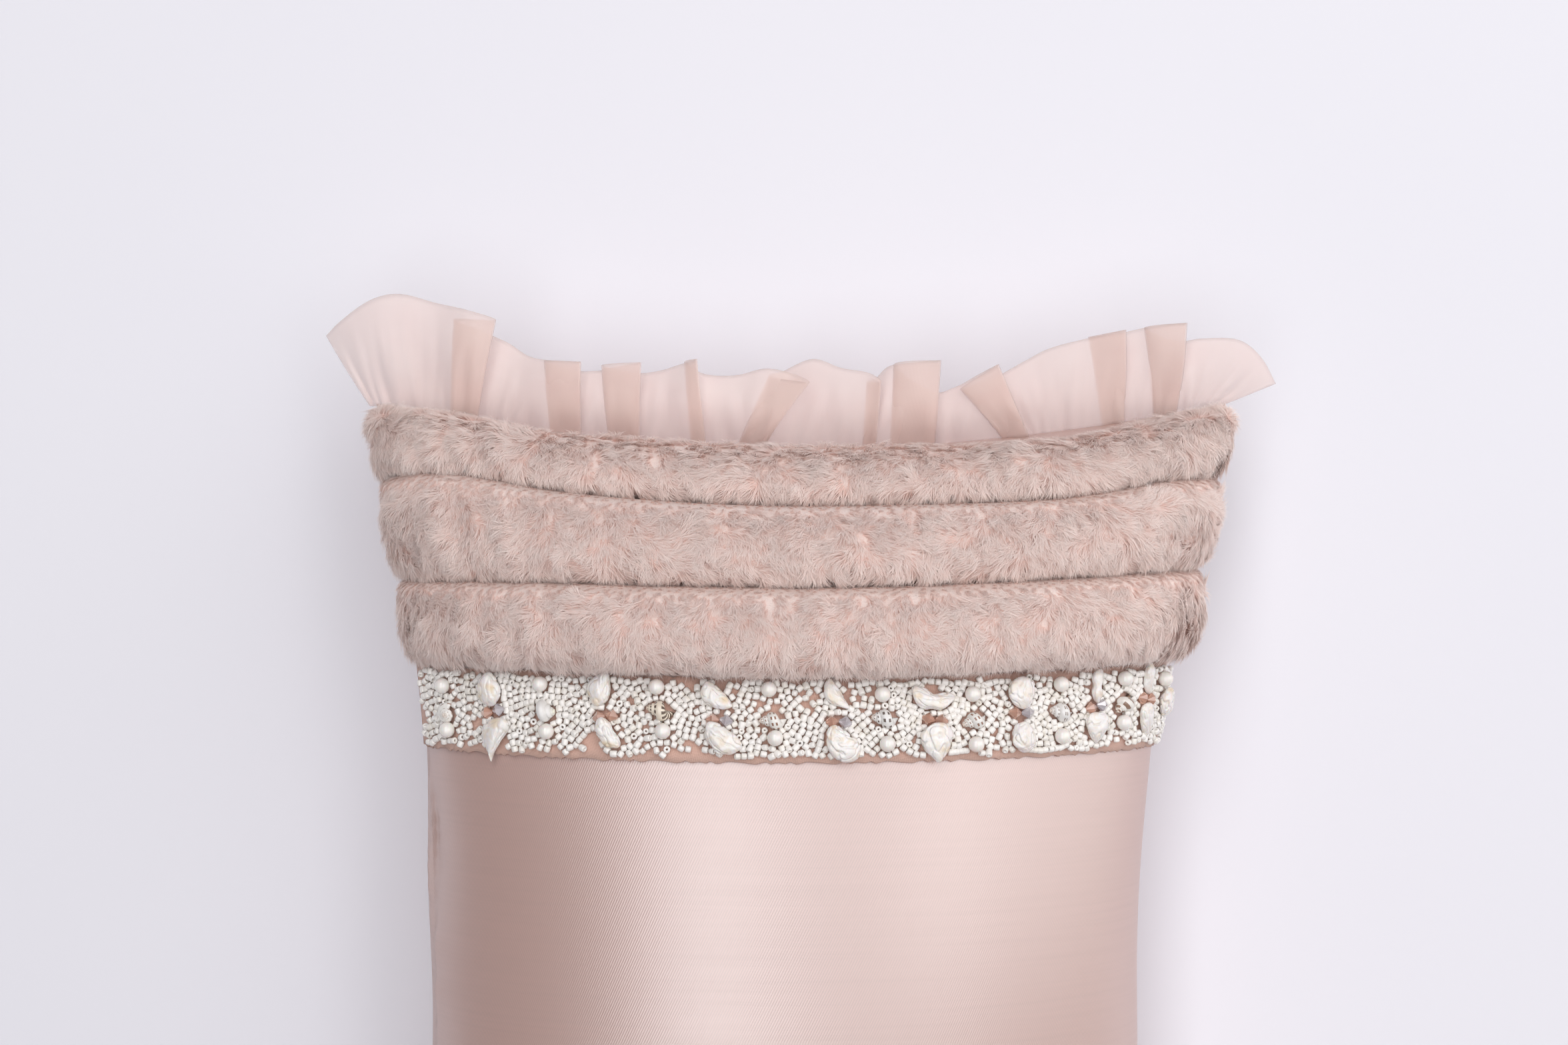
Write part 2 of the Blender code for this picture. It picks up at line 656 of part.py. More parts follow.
if __name__ == "__main__":
    main()
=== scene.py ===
"""Ring bearer pillow: the finished look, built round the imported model.

Every operator below makes one piece, or one group of like pieces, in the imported
model's own frame: +X across the pillow, +Y towards the ruffle, +Z up, in metres.
"""

import math
import random

import bmesh
import bpy
import numpy as np
from bpy.props import FloatProperty, FloatVectorProperty, IntProperty, PointerProperty
from mathutils import Matrix, Vector, noise


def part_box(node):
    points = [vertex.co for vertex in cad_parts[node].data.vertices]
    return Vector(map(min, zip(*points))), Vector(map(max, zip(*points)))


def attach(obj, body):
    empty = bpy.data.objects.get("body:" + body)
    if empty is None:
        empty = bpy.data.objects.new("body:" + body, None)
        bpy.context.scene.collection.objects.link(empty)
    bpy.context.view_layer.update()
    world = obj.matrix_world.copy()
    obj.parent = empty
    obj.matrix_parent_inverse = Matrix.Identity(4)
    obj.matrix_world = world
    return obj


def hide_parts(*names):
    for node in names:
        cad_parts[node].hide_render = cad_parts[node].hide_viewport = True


bl_info = {
    "name": "Ring Bearer Pillow",
    "version": (1, 0, 0),
    "blender": (4, 5, 0),
    "location": "3D View > Sidebar > Pillow",
    "description": "Satin ring pillow with fur rolls, a bead band and an organza ruffle",
    "category": "Add Mesh",
}

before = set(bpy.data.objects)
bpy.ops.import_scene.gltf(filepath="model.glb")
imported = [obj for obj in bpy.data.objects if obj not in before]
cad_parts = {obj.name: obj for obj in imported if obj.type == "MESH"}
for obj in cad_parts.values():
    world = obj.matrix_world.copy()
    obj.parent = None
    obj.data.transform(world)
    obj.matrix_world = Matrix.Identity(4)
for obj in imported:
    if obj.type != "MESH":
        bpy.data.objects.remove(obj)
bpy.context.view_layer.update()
MM = 0.001

# The case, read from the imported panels.
FRONT_LOW, FRONT_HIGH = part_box("front_panel")
HALF_WIDTH = -FRONT_LOW.x
HEAD_LEAN = FRONT_HIGH.x + FRONT_LOW.x
HALF_LENGTH = FRONT_HIGH.y
RUFFLE_LOW, RUFFLE_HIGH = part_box("organza_ruffle")
END_SEAM_HEIGHT = (RUFFLE_LOW.z + RUFFLE_HIGH.z) / 2
CHAIN_LOW, CHAIN_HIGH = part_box("zip_chain")
REST_BEND = 2.0 * MM
RIM = 0.9999        # just inside the seams, where the case's slope can still be found

ROLL_NAMES = ("upper", "middle", "lower")
ROLL_WIDTHS = {"upper": 18.7 * MM, "middle": 25.3 * MM, "lower": 26.5 * MM}
ROLL_CROWNS = {"upper": 16.0 * MM, "middle": 18.0 * MM, "lower": 18.0 * MM}
ROLL_END_CROWN = 5.5 * MM
ROLL_LENGTH = 0.25
ROLL_GIRTH = 0.047
TUFT_LEANS = (0.36, 0.41, 0.46, 0.51, 0.57, 0.38, 0.44, 0.54)
PILE_SOFTNESS = 0.45
HEAD_MARGIN = 2.8 * MM
ROLL_BASE_LIFT = 1.0 * MM
BAND_LINE = HEAD_MARGIN + sum(ROLL_WIDTHS.values()) + 12.6 * MM
TAPE_LIFT = 0.7 * MM
TAPE_TOP = 1.2 * MM
CAMERA_PLACE = (0.0, 0.1484, 0.670)


# ---------------------------------------------------------------- sizes and colours
class PillowCase(bpy.types.PropertyGroup):
    """Form and cloth of the stuffed satin case."""

    puff: FloatProperty(name="Puff", description="Height of the crown above the seam line",
                        default=50 * MM, unit="LENGTH")
    side_pull: FloatProperty(name="Side pull", description="How far each side draws in",
                             default=23 * MM, unit="LENGTH")
    head_pull: FloatProperty(name="Head pull", description="How far the head seam draws in",
                             default=13.3 * MM, unit="LENGTH")
    foot_pull: FloatProperty(name="Foot pull", description="How far the foot seam draws in",
                             default=6 * MM, unit="LENGTH")
    seam_height: FloatProperty(name="Seam height", description="Side seam above the table",
                               default=44.5 * MM, unit="LENGTH")
    seam_roll: FloatProperty(name="Seam roll", description="How far the side seams roll round",
                             default=0.24, subtype="ANGLE")
    pucker: FloatProperty(name="Pucker", description="Depth of the puckers beside the seams",
                          default=0.7 * MM, unit="LENGTH")
    satin: FloatVectorProperty(name="Satin", description="Colour of the front satin",
                               default=(0.61, 0.395, 0.34), subtype="COLOR")
    backing: FloatVectorProperty(name="Backing", description="Colour of the back panel",
                                 default=(0.72, 0.54, 0.50), subtype="COLOR")


class FurRolls(bpy.types.PropertyGroup):
    """Pile of the three plush rolls."""

    pile: FloatProperty(name="Pile", description="Length of the longest strands",
                        default=6.6 * MM, unit="LENGTH")
    pile_height: FloatProperty(name="Pile height", description="Depth of the pile on the cloth",
                               default=3.0 * MM, unit="LENGTH")
    spacing: FloatProperty(name="Tuft spacing", description="Distance between tufts",
                           default=1.75 * MM, unit="LENGTH")
    strands: IntProperty(name="Strands", description="Strands in one tuft", default=34)
    # The root colour is painted shade down in the pile between the tufts.
    root: FloatVectorProperty(name="Root", description="Colour at the roots",
                              default=(0.95, 0.69, 0.61), subtype="COLOR")
    tip: FloatVectorProperty(name="Tip", description="Colour at the tips",
                             default=(1.0, 0.91, 0.86), subtype="COLOR")


class BeadBand(bpy.types.PropertyGroup):
    """Beads and ornaments of the band."""

    bead: FloatProperty(name="Seed bead", description="Diameter of a seed bead",
                        default=1.9 * MM, unit="LENGTH")
    width: FloatProperty(name="Width", description="Width of the bead field",
                         default=20.4 * MM, unit="LENGTH")
    tape_width: FloatProperty(name="Tape width", description="Width of the net tape",
                              default=23.6 * MM, unit="LENGTH")
    pearl: FloatProperty(name="Pearl", description="Diameter of a pearl",
                         default=4.4 * MM, unit="LENGTH")
    crystal: FloatProperty(name="Crystal", description="Length of a crystal",
                           default=3.5 * MM, unit="LENGTH")
    shell: FloatProperty(name="Shell", description="Length of a shell",
                         default=7.6 * MM, unit="LENGTH")
    seed: IntProperty(name="Seed", description="Start of the random placing", default=7)


class Ruffle(bpy.types.PropertyGroup):
    """Doubled organza ruffle."""

    layer_gap: FloatProperty(name="Layer gap", description="Between the two layers",
                             default=0.5 * MM, unit="LENGTH")
    gather: FloatProperty(name="Gather", description="Height of the fine gathers at the seam",
                          default=1.0 * MM, unit="LENGTH")
    colour: FloatVectorProperty(name="Organza", description="Colour of the organza",
                                default=(1.0, 0.79, 0.725), subtype="COLOR")


class PillowSettings(bpy.types.PropertyGroup):
    """All the sizes and colours of the ring bearer pillow."""

    case: PointerProperty(type=PillowCase)
    fur: PointerProperty(type=FurRolls)
    band: PointerProperty(type=BeadBand)
    ruffle: PointerProperty(type=Ruffle)


def settings():
    return bpy.context.scene.ring_bearer_pillow


# ---------------------------------------------------------------- form of the case
def half_width(v):
    return HALF_WIDTH - settings().case.side_pull * (1 - np.abs(v) ** 2.5)


def crown(v):
    return settings().case.puff * np.maximum(0, 1 - np.abs(v) ** 2.5) ** 0.6


def end_spaced(share):
    """Rows closer together towards the two ends."""
    return np.sin(np.pi * share / 2)


def seam_line(v):
    return END_SEAM_HEIGHT + (settings().case.seam_height - END_SEAM_HEIGHT) * (1 - v * v)


def end_pull(v, x_share):
    case = settings().case
    head = -case.head_pull * v ** 3 * (1 - np.abs(x_share) ** 1.8)
    foot = -case.foot_pull * v ** 3 * (1 - np.abs(x_share) ** 8)
    return np.where(v > 0, head, foot)


def rested(height, floor):
    """Heights pressed flat on the floor, with a soft bend where they leave it."""
    above = height - floor
    bend = floor + (above + REST_BEND) ** 2 / (4 * REST_BEND)
    return np.where(above < -REST_BEND, floor, np.where(above < REST_BEND, bend, height))


def case_points(u, v, side=1, inset=0.0, floor=0.0):
    """Points of the case at u (side seam to side seam) and v (foot to head)."""
    u, v = np.broadcast_arrays(np.asarray(u, float), np.asarray(v, float))
    turn = np.pi * u / 2 + side * settings().case.seam_roll * (1 - v * v)
    x_share = np.sin(turn)
    x = HEAD_LEAN * np.maximum(v, 0) ** 2 + (half_width(v) - inset) * x_share
    y = HALF_LENGTH * v + end_pull(v, x_share)
    z = seam_line(v) + side * np.maximum(crown(v) - inset, 0) * np.cos(turn)
    return np.stack([x, y, rested(z, floor)], axis=-1)


def unit(vectors):
    return vectors / np.maximum(np.linalg.norm(vectors, axis=-1, keepdims=True), 1e-12)


def surface_axes(place, a, b, step=1e-4):
    """(points, across, along, out) of a surface place(a, b), by small differences."""
    across = unit(place(a + step, b) - place(a - step, b))
    along = place(a, b + step) - place(a, b - step)
    out = unit(np.cross(across, along))
    return place(a, b), across, np.cross(out, across), out


def lifted_points(u, v, lift):
    """Points at a height above the front of the case."""
    points, _, _, out = surface_axes(case_points, np.clip(u, -RIM, RIM), np.clip(v, -RIM, RIM))
    return points + np.asarray(lift)[..., None] * out


def raised_points(u, v, lift):
    """Points above the front of the case, raised almost straight up."""
    points, _, _, out = surface_axes(case_points, np.clip(u, -RIM, RIM), np.clip(v, -RIM, RIM))
    return points + np.asarray(lift)[..., None] * unit(out * (0.85, 0.2, 1.0))


def from_head(distance):
    return 1 - distance / HALF_LENGTH


# ---------------------------------------------------------------- mesh helpers
def add_piece(name, mesh, material, body="cushion", replaces=(), smooth=True):
    """Makes the shown piece of a finished mesh and fixes it to its CAD body."""
    piece = bpy.data.objects.new(name, mesh)
    for each in material if isinstance(material, (list, tuple)) else [material]:
        mesh.materials.append(each)
    bpy.context.scene.collection.objects.link(piece)
    if smooth:
        mesh.shade_smooth()
    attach(piece, body)
    if replaces:
        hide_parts(*replaces)
    return piece


def finished(bm, name, normals=True):
    if normals:
        bmesh.ops.recalc_face_normals(bm, faces=bm.faces)
    mesh = bpy.data.meshes.new(name)
    bm.to_mesh(mesh)
    bm.free()
    return mesh


def coordinates(mesh):
    co = np.empty(len(mesh.vertices) * 3, np.float32)
    mesh.vertices.foreach_get("co", co)
    return co.reshape(-1, 3).astype(float)


def set_coordinates(mesh, points):
    mesh.vertices.foreach_set("co", np.asarray(points, np.float32).ravel())
    mesh.update()


def grid_bmesh(columns, rows):
    """A flat grid from -1 to 1 with a UV map that holds its share across and along."""
    bm = bmesh.new()
    bm.loops.layers.uv.new("OFBake")
    bmesh.ops.create_grid(bm, x_segments=columns, y_segments=rows, size=1.0, calc_uvs=True)
    return bm


def shaped_grid(name, columns, rows, place, flip=False):
    """A grid laid on a curved surface by place(a, b)."""
    bm = grid_bmesh(columns, rows)
    if flip:
        bmesh.ops.reverse_faces(bm, faces=bm.faces)
    mesh = finished(bm, name, normals=False)
    co = coordinates(mesh)
    set_coordinates(mesh, place(co[:, 0], co[:, 1]))
    return mesh


def join_meshes(name, meshes, merge=0.0):
    bm = bmesh.new()
    for mesh in meshes:
        bm.from_mesh(mesh)
        bpy.data.meshes.remove(mesh)
    if merge:
        bmesh.ops.remove_doubles(bm, verts=bm.verts, dist=merge)
    return finished(bm, name, normals=False)


def stamp(name, templates, picks, places, softness=0.0):
    """One mesh of many copies of a few small templates, each put at its own place.

    Each copy gets its own cell of the UV map, and keeps its template's tip value.
    Softness turns the shading normals of every copy towards its own z axis."""
    points, corners, starts, tips, cells, normals = [], [], [], [], [], []
    vertex_count = corner_count = copy_count = 0
    side = math.ceil(math.sqrt(len(picks)))
    for index, template in enumerate(templates):
        chosen = places[picks == index]
        if not len(chosen):
            continue
        co = coordinates(template)
        loops = np.empty(len(template.loops), np.int32)
        template.loops.foreach_get("vertex_index", loops)
        start = np.empty(len(template.polygons), np.int32)
        template.polygons.foreach_get("loop_start", start)
        uv = np.empty(len(loops) * 2, np.float32)
        template.uv_layers[0].data.foreach_get("uv", uv)
        tip = np.zeros(len(co), np.float32)
        if "tip" in template.attributes:
            template.attributes["tip"].data.foreach_get("value", tip)
        count = len(chosen)
        copies = np.arange(count)[:, None]
        moved = np.einsum("nij,vj->nvi", chosen[:, :3, :3], co) + chosen[:, None, :3, 3]
        points.append(moved.reshape(-1, 3))
        own = np.array([vert.normal for vert in template.vertices])
        turned = unit(np.einsum("nij,vj->nvi", chosen[:, :3, :3], own))
        facing = unit(chosen[:, :3, 2])[:, None, :]
        normals.append(unit(softness * facing + (1 - softness) * turned).reshape(-1, 3))
        corners.append((loops + copies * len(co) + vertex_count).ravel())
        starts.append((start + copies * len(loops) + corner_count).ravel())
        tips.append(np.tile(tip, count))
        cell = np.stack([(copies + copy_count) % side, (copies + copy_count) // side], axis=-1)
        cells.append(((uv.reshape(1, -1, 2) * 0.8 + 0.1 + cell) / side).reshape(-1, 2))
        vertex_count += count * len(co)
        corner_count += count * len(loops)
        copy_count += count
    mesh = bpy.data.meshes.new(name)
    mesh.vertices.add(vertex_count)
    mesh.loops.add(corner_count)
    mesh.polygons.add(sum(len(each) for each in starts))
    mesh.vertices.foreach_set("co", np.concatenate(points).astype(np.float32).ravel())
    mesh.loops.foreach_set("vertex_index", np.concatenate(corners))
    mesh.polygons.foreach_set("loop_start", np.concatenate(starts))
    mesh.attributes.new("tip", "FLOAT", "POINT").data.foreach_set("value", np.concatenate(tips))
    mesh.uv_layers.new(name="OFBake").data.foreach_set(
        "uv", np.concatenate(cells).astype(np.float32).ravel())
    mesh.update(calc_edges=True)
    mesh.shade_smooth()
    if softness:
        mesh.normals_split_custom_set_from_vertices(np.concatenate(normals))
    return mesh


def matrices(points, x_axes, y_axes, z_axes):
    """An array of 4 x 4 places from points and their three axes."""
    places = np.zeros((len(points), 4, 4))
    for column, axis in enumerate((x_axes, y_axes, z_axes, points)):
        places[:, :3, column] = axis
    places[:, 3, 3] = 1
    return places


def smoothstep(low, high, value):
    share = np.clip((value - low) / (high - low), 0, 1)
    return share * share * (3 - 2 * share)


# ---------------------------------------------------------------- material helpers
def new_material(name, **sockets):
    material = bpy.data.materials.new(name)
    material.use_nodes = True
    shader = material.node_tree.nodes["Principled BSDF"]
    for key, value in sockets.items():
        socket = shader.inputs[key.replace("_", " ")]
        socket.default_value = (*value, 1.0) if socket.type == "RGBA" else value
    return material, material.node_tree, shader


def add_node(tree, kind, inputs=None, **values):
    """A node with its settings, its inputs given as values or as sockets to link."""
    node = tree.nodes.new("ShaderNode" + kind)
    for key, value in values.items():
        setattr(node, key, value)
    for key, value in (inputs or {}).items():
        if isinstance(value, bpy.types.NodeSocket):
            tree.links.new(value, node.inputs[key])
        else:
            node.inputs[key].default_value = value
    return node


def object_place(tree, scale=(1, 1, 1), turn=(0, 0, 0)):
    place = add_node(tree, "TexCoord").outputs["Object"]
    return add_node(tree, "Mapping", {"Vector": place, "Scale": scale, "Rotation": turn}).outputs[0]


def own_map(tree, scale=(1, 1, 1), turn=0.0):
    place = add_node(tree, "UVMap", uv_map="OFBake").outputs[0]
    turned = (0, 0, turn)
    sized = add_node(tree, "Mapping", {"Vector": place, "Scale": scale}).outputs[0]
    return add_node(tree, "Mapping", {"Vector": sized, "Rotation": turned}).outputs[0]


def noise_fac(tree, vector, scale, detail=2.0, roughness=0.5, distortion=0.0):
    return add_node(tree, "TexNoise", {"Vector": vector, "Scale": scale, "Detail": detail,
                                       "Roughness": roughness, "Distortion": distortion}).outputs["Fac"]


def wave_fac(tree, vector, scale, distortion=0.0, detail_scale=1.0, axis="X"):
    return add_node(tree, "TexWave", {"Vector": vector, "Scale": scale, "Distortion": distortion,
                                      "Detail Scale": detail_scale}, bands_direction=axis).outputs["Fac"]


def ramp(tree, fac, *stops):
    """A colour ramp from (position, colour) stops."""
    node = add_node(tree, "ValToRGB", {"Fac": fac})
    elements = node.color_ramp.elements
    while len(elements) < len(stops):
        elements.new(0.5)
    for element, (position, colour) in zip(elements, stops):
        element.position = position
        element.color = (*colour, 1.0)
    return node.outputs["Color"]


def grey_ramp(tree, fac, *stops):
    return ramp(tree, fac, *((position, (value,) * 3) for position, value in stops))


def mix(tree, factor, first, second, blend="MIX"):
    node = add_node(tree, "Mix", data_type="RGBA", blend_type=blend)
    for index, value in ((0, factor), (6, first), (7, second)):
        if isinstance(value, bpy.types.NodeSocket):
            tree.links.new(value, node.inputs[index])
        else:
            node.inputs[index].default_value = (*value, 1.0) if index else value
    return node.outputs[2]


def math_node(tree, operation, first, second=0.0):
    return add_node(tree, "Math", {0: first, 1: second}, operation=operation).outputs[0]


def add_bump(tree, shader, height, distance, strength=1.0, normal=None):
    inputs = {"Height": height, "Distance": distance, "Strength": strength}
    if normal:
        inputs["Normal"] = normal
    bump = add_node(tree, "Bump", inputs)
    tree.links.new(bump.outputs[0], shader.inputs["Normal"])
    return bump.outputs[0]


def paint(tree, shader, colour, socket="Base Color"):
    """Links a pattern to one of the finish's inputs."""
    tree.links.new(colour, shader.inputs[socket])


def shade(colour, factor):
    return tuple(min(1.0, channel * factor) for channel in colour)


# ---------------------------------------------------------------- materials
CLOTH_ACROSS, CLOTH_ALONG = 0.31, 0.37


def satin_material(name, colour, ior, roughness):
    """Shot satin: a fine diagonal weave, slubs across it and a broad pale gloss."""
    material, tree, shader = new_material(name, Base_Color=colour, Roughness=roughness, IOR=ior)
    cloth = (CLOTH_ACROSS, CLOTH_ALONG, 1)
    weave = wave_fac(tree, own_map(tree, cloth, math.radians(38)), 560, 0.6, 900)
    slub = noise_fac(tree, own_map(tree, (3.5, 420, 1)), 1.0, 3.0, 0.6)
    streaks = grey_ramp(tree, slub, (0.30, 0.97), (0.50, 1.0), (0.72, 1.02))
    dyed = mix(tree, 1.0, colour, streaks, "MULTIPLY")
    fine = grey_ramp(tree, weave, (0.15, 0.90), (0.85, 1.05))
    woven = mix(tree, 1.0, dyed, fine, "MULTIPLY")
    paint(tree, shader, woven)
    sheen = grey_ramp(tree, slub, (0.3, roughness + 0.02), (0.7, roughness - 0.02))
    paint(tree, shader, sheen, "Roughness")
    weave_bump = add_bump(tree, shader, weave, 0.03 * MM, 0.5)
    add_bump(tree, shader, slub, 0.035 * MM, 0.2, weave_bump)
    return material


def fur_material(name, root, tip):
    """Plush pile: pale at the tips and darker towards the roots, with soft patches; the pale tips are the
    pile's own colour, the darker roots are painted shade down in the pile between the tufts.
    """
    material, tree, shader = new_material(
        name, Roughness=0.85, Specular_IOR_Level=0.18, Sheen_Weight=0.55, Sheen_Roughness=0.5,
        Sheen_Tint=(1.0, 0.84, 0.79))
    along = add_node(tree, "Attribute", attribute_name="tip").outputs["Fac"]
    patches = noise_fac(tree, object_place(tree), 90, 1.0)
    tufts = noise_fac(tree, object_place(tree), 480, 1.0)
    pale = mix(tree, grey_ramp(tree, patches, (0.35, 0.0), (0.65, 1.0)), shade(tip, 0.96), tip)
    pale = mix(tree, grey_ramp(tree, tufts, (0.40, 0.0), (0.66, 0.25)), pale, shade(root, 0.95))
    # The root colour is painted shade: it darkens the pile towards its roots, down between the tufts.
    middle = mix(tree, 0.5, pale, root)
    low = mix(tree, grey_ramp(tree, along, (0.0, 0.0), (0.45, 1.0)), root, middle)
    colour = mix(tree, grey_ramp(tree, along, (0.35, 0.0), (1.0, 1.0)), low, pale)
    paint(tree, shader, colour)
    return material


def fur_ground_material(colour):
    """Knitted ground of the fur, seen only between tufts."""
    material, tree, shader = new_material("fur_ground_knit", Roughness=0.95)
    knit = noise_fac(tree, object_place(tree), 1500, 3.0, 0.7)
    paint(tree, shader, ramp(tree, knit, (0.3, shade(colour, 0.92)), (0.7, shade(colour, 1.05))))
    add_bump(tree, shader, knit, 0.25 * MM)
    return material


def organza_material(colour):
    """Crisp sheer organza: layers deepen the colour where they overlap."""
    material, tree, shader = new_material(
        "blush_organza", Roughness=0.42, Sheen_Weight=0.5, Sheen_Roughness=0.4,
        Sheen_Tint=(1.0, 0.93, 0.92), Specular_IOR_Level=0.55)
    cloth = own_map(tree, (0.62, 0.026, 1))
    threads = wave_fac(tree, cloth, 2400, 0.3, 500)
    filling = wave_fac(tree, cloth, 2600, 0.3, 500, "Y")
    cross = math_node(tree, "ADD", threads, filling)
    slub = noise_fac(tree, own_map(tree, (22, 2, 1)), 1.0, 2.0)
    paint(tree, shader, ramp(tree, slub, (0.3, shade(colour, 0.97)), (0.7, shade(colour, 1.04))))
    cover = grey_ramp(tree, cross, (0.2, 0.32), (1.0, 0.40))
    paint(tree, shader, cover, "Alpha")
    add_bump(tree, shader, slub, 0.10 * MM, 0.25)
    return material


def net_material():
    """Rose-brown net: an open grid of fine threads."""
    material, tree, shader = new_material("rose_net", Roughness=0.75, Sheen_Weight=0.2)
    place = own_map(tree, (0.24, 0.0236, 1))
    warp = wave_fac(tree, place, 1500, 1.0, 300)
    weft = wave_fac(tree, place, 1300, 1.0, 300, "Y")
    net = math_node(tree, "MAXIMUM", warp, weft)
    paint(tree, shader, ramp(tree, net, (0.35, (0.66, 0.36, 0.27)), (0.85, (0.92, 0.62, 0.51))))
    add_bump(tree, shader, net, 0.12 * MM, 0.8)
    return material


def seed_material():
    """Opaque white lustre glass, each bead a little different."""
    material, tree, shader = new_material(
        "white_lustre_glass", Roughness=0.2, Coat_Weight=0.9, Coat_Roughness=0.06,
        Sheen_Weight=0.1)
    shift = noise_fac(tree, object_place(tree), 260, 1.0)
    glass = ramp(tree, shift, (0.30, (0.98, 0.945, 0.90)), (0.55, (0.97, 0.93, 0.88)),
                 (0.68, (0.90, 0.85, 0.77)), (0.80, (0.97, 0.95, 0.93)))
    paint(tree, shader, glass)
    return material


def pearl_material():
    """Ivory pearl with a soft rose and green orient."""
    material, tree, shader = new_material(
        "ivory_pearl_lustre", Roughness=0.22, Coat_Weight=1.0, Coat_Roughness=0.04,
        Subsurface_Weight=0.2, Subsurface_Scale=1.2 * MM)
    facing = add_node(tree, "LayerWeight", {"Blend": 0.35}).outputs["Facing"]
    cloud = noise_fac(tree, object_place(tree), 260, 2.0)
    body = ramp(tree, cloud, (0.3, (0.95, 0.91, 0.85)), (0.7, (0.97, 0.94, 0.89)))
    orient = ramp(tree, facing, (0.0, (1, 1, 1)), (0.55, (0.98, 0.94, 0.93)), (1.0, (0.80, 0.80, 0.78)))
    paint(tree, shader, mix(tree, 1.0, body, orient, "MULTIPLY"))
    return material


def nacre_material():
    """Baroque nacre: cream growth bands, amber spots and a changing lustre."""
    material, tree, shader = new_material(
        "baroque_nacre", Roughness=0.2, Coat_Weight=0.9, Coat_Roughness=0.05,
        Subsurface_Weight=0.15, Subsurface_Scale=1.0 * MM)
    place = object_place(tree)
    bands = noise_fac(tree, place, 330, 3.0, 0.6, 1.2)
    spots = noise_fac(tree, place, 210, 1.0)
    facing = add_node(tree, "LayerWeight", {"Blend": 0.4}).outputs["Facing"]
    body = ramp(tree, bands, (0.30, (0.86, 0.77, 0.64)), (0.48, (0.90, 0.86, 0.80)),
                (0.62, (0.93, 0.91, 0.89)), (0.75, (0.88, 0.80, 0.68)))
    amber = mix(tree, grey_ramp(tree, spots, (0.60, 0.0), (0.74, 0.75)), body, (0.80, 0.62, 0.36))
    orient = ramp(tree, facing, (0.0, (1, 1, 1)), (0.4, (0.97, 0.93, 0.96)),
                  (0.7, (0.93, 0.97, 0.92)), (1.0, (0.85, 0.80, 0.75)))
    paint(tree, shader, mix(tree, 1.0, amber, orient, "MULTIPLY"))
    add_bump(tree, shader, bands, 0.25 * MM, 0.6)
    return material


SHELL_LOOKS = {
    "dotted": ((0.92, 0.89, 0.84), (0.28, 0.12, 0.06), 30, 0.50, 0.17),
    "plain": ((0.90, 0.88, 0.85), (0.78, 0.60, 0.42), 0, 0.0, 0.10),
    "zebra": ((0.90, 0.80, 0.66), (0.07, 0.03, 0.012), 36, 0.55, 0.42),
    "dashed": ((0.91, 0.89, 0.86), (0.10, 0.06, 0.04), 27, 0.45, 0.22),
    "banded": ((0.90, 0.86, 0.80), (0.26, 0.13, 0.07), 9, 0.5, 0.42),
    "lined": ((0.91, 0.89, 0.86), (0.20, 0.12, 0.08), 34, 0.55, 0.09),
}


def shell_material(name):
    """Glossy snail shell whose marks follow its whorls."""
    ground, marks, count, share, width = SHELL_LOOKS[name]
    material, tree, shader = new_material(
        f"shell_{name}", Roughness=0.28, Coat_Weight=0.5, Coat_Roughness=0.12)
    along = add_node(tree, "Attribute", attribute_name="whorl_along").outputs["Fac"]
    around = add_node(tree, "Attribute", attribute_name="whorl_around").outputs["Fac"]
    ribs = math_node(tree, "SINE", math_node(tree, "MULTIPLY", along, 2 * math.pi * 9))
    aged = ramp(tree, noise_fac(tree, object_place(tree), 500, 3.0),
                (0.3, shade(ground, 0.92)), (0.7, shade(ground, 1.04)))
    cycle = math_node(tree, "FRACT", math_node(tree, "MULTIPLY", along, float(count)))
    on_mark = math_node(tree, "LESS_THAN", cycle, share)
    off_row = math_node(tree, "ABSOLUTE", math_node(tree, "SUBTRACT", around, 0.5))
    second = math_node(tree, "ABSOLUTE", math_node(tree, "SUBTRACT", off_row, width))
    in_row = math_node(tree, "LESS_THAN", second, width * 0.45)
    factor = math_node(tree, "MULTIPLY", on_mark, in_row)
    apex = grey_ramp(tree, along, (0.55, 0.0), (1.0, 0.55))
    warm = mix(tree, apex, aged, shade(marks, 1.6) if name == "plain" else (0.72, 0.52, 0.38))
    paint(tree, shader, mix(tree, math_node(tree, "MULTIPLY", factor, 0.9), warm, marks))
    add_bump(tree, shader, ribs, 0.08 * MM, 0.6)
    return material


def crystal_material(name, colour):
    material, tree, shader = new_material(
        name, Roughness=0.02, Transmission_Weight=0.6, IOR=1.62, Coat_Weight=1.0, Coat_Roughness=0.02)
    cloud = noise_fac(tree, object_place(tree), 700, 1.0)
    paint(tree, shader, ramp(tree, cloud, (0.3, shade(colour, 0.94)), (0.7, shade(colour, 1.03))))
    return material


def cloth_material(name, colour, threads, roughness=0.85):
    """Plain woven cloth or tape."""
    material, tree, shader = new_material(name, Roughness=roughness, Sheen_Weight=0.15)
    place = object_place(tree)
    warp = wave_fac(tree, place, threads, 0.5, 300)
    weft = wave_fac(tree, place, threads, 0.5, 300, "Y")
    weave = math_node(tree, "MAXIMUM", warp, weft)
    patches = noise_fac(tree, place, 60, 3.0)
    dyed = ramp(tree, patches, (0.3, shade(colour, 0.93)), (0.7, shade(colour, 1.05)))
    paint(tree, shader, mix(tree, 1.0, dyed, grey_ramp(tree, weave, (0.2, 0.85), (0.9, 1.03)), "MULTIPLY"))
    add_bump(tree, shader, weave, 0.08 * MM, 0.6)
    return material


def wadding_material():
    material, tree, shader = new_material("polyester_wadding", Roughness=0.95, Sheen_Weight=0.4)
    fluff = noise_fac(tree, object_place(tree), 350, 6.0, 0.7, 1.0)
    paint(tree, shader, ramp(tree, fluff, (0.3, (0.80, 0.79, 0.77)), (0.7, (0.93, 0.93, 0.92))))
    add_bump(tree, shader, fluff, 1.2 * MM)
    return material


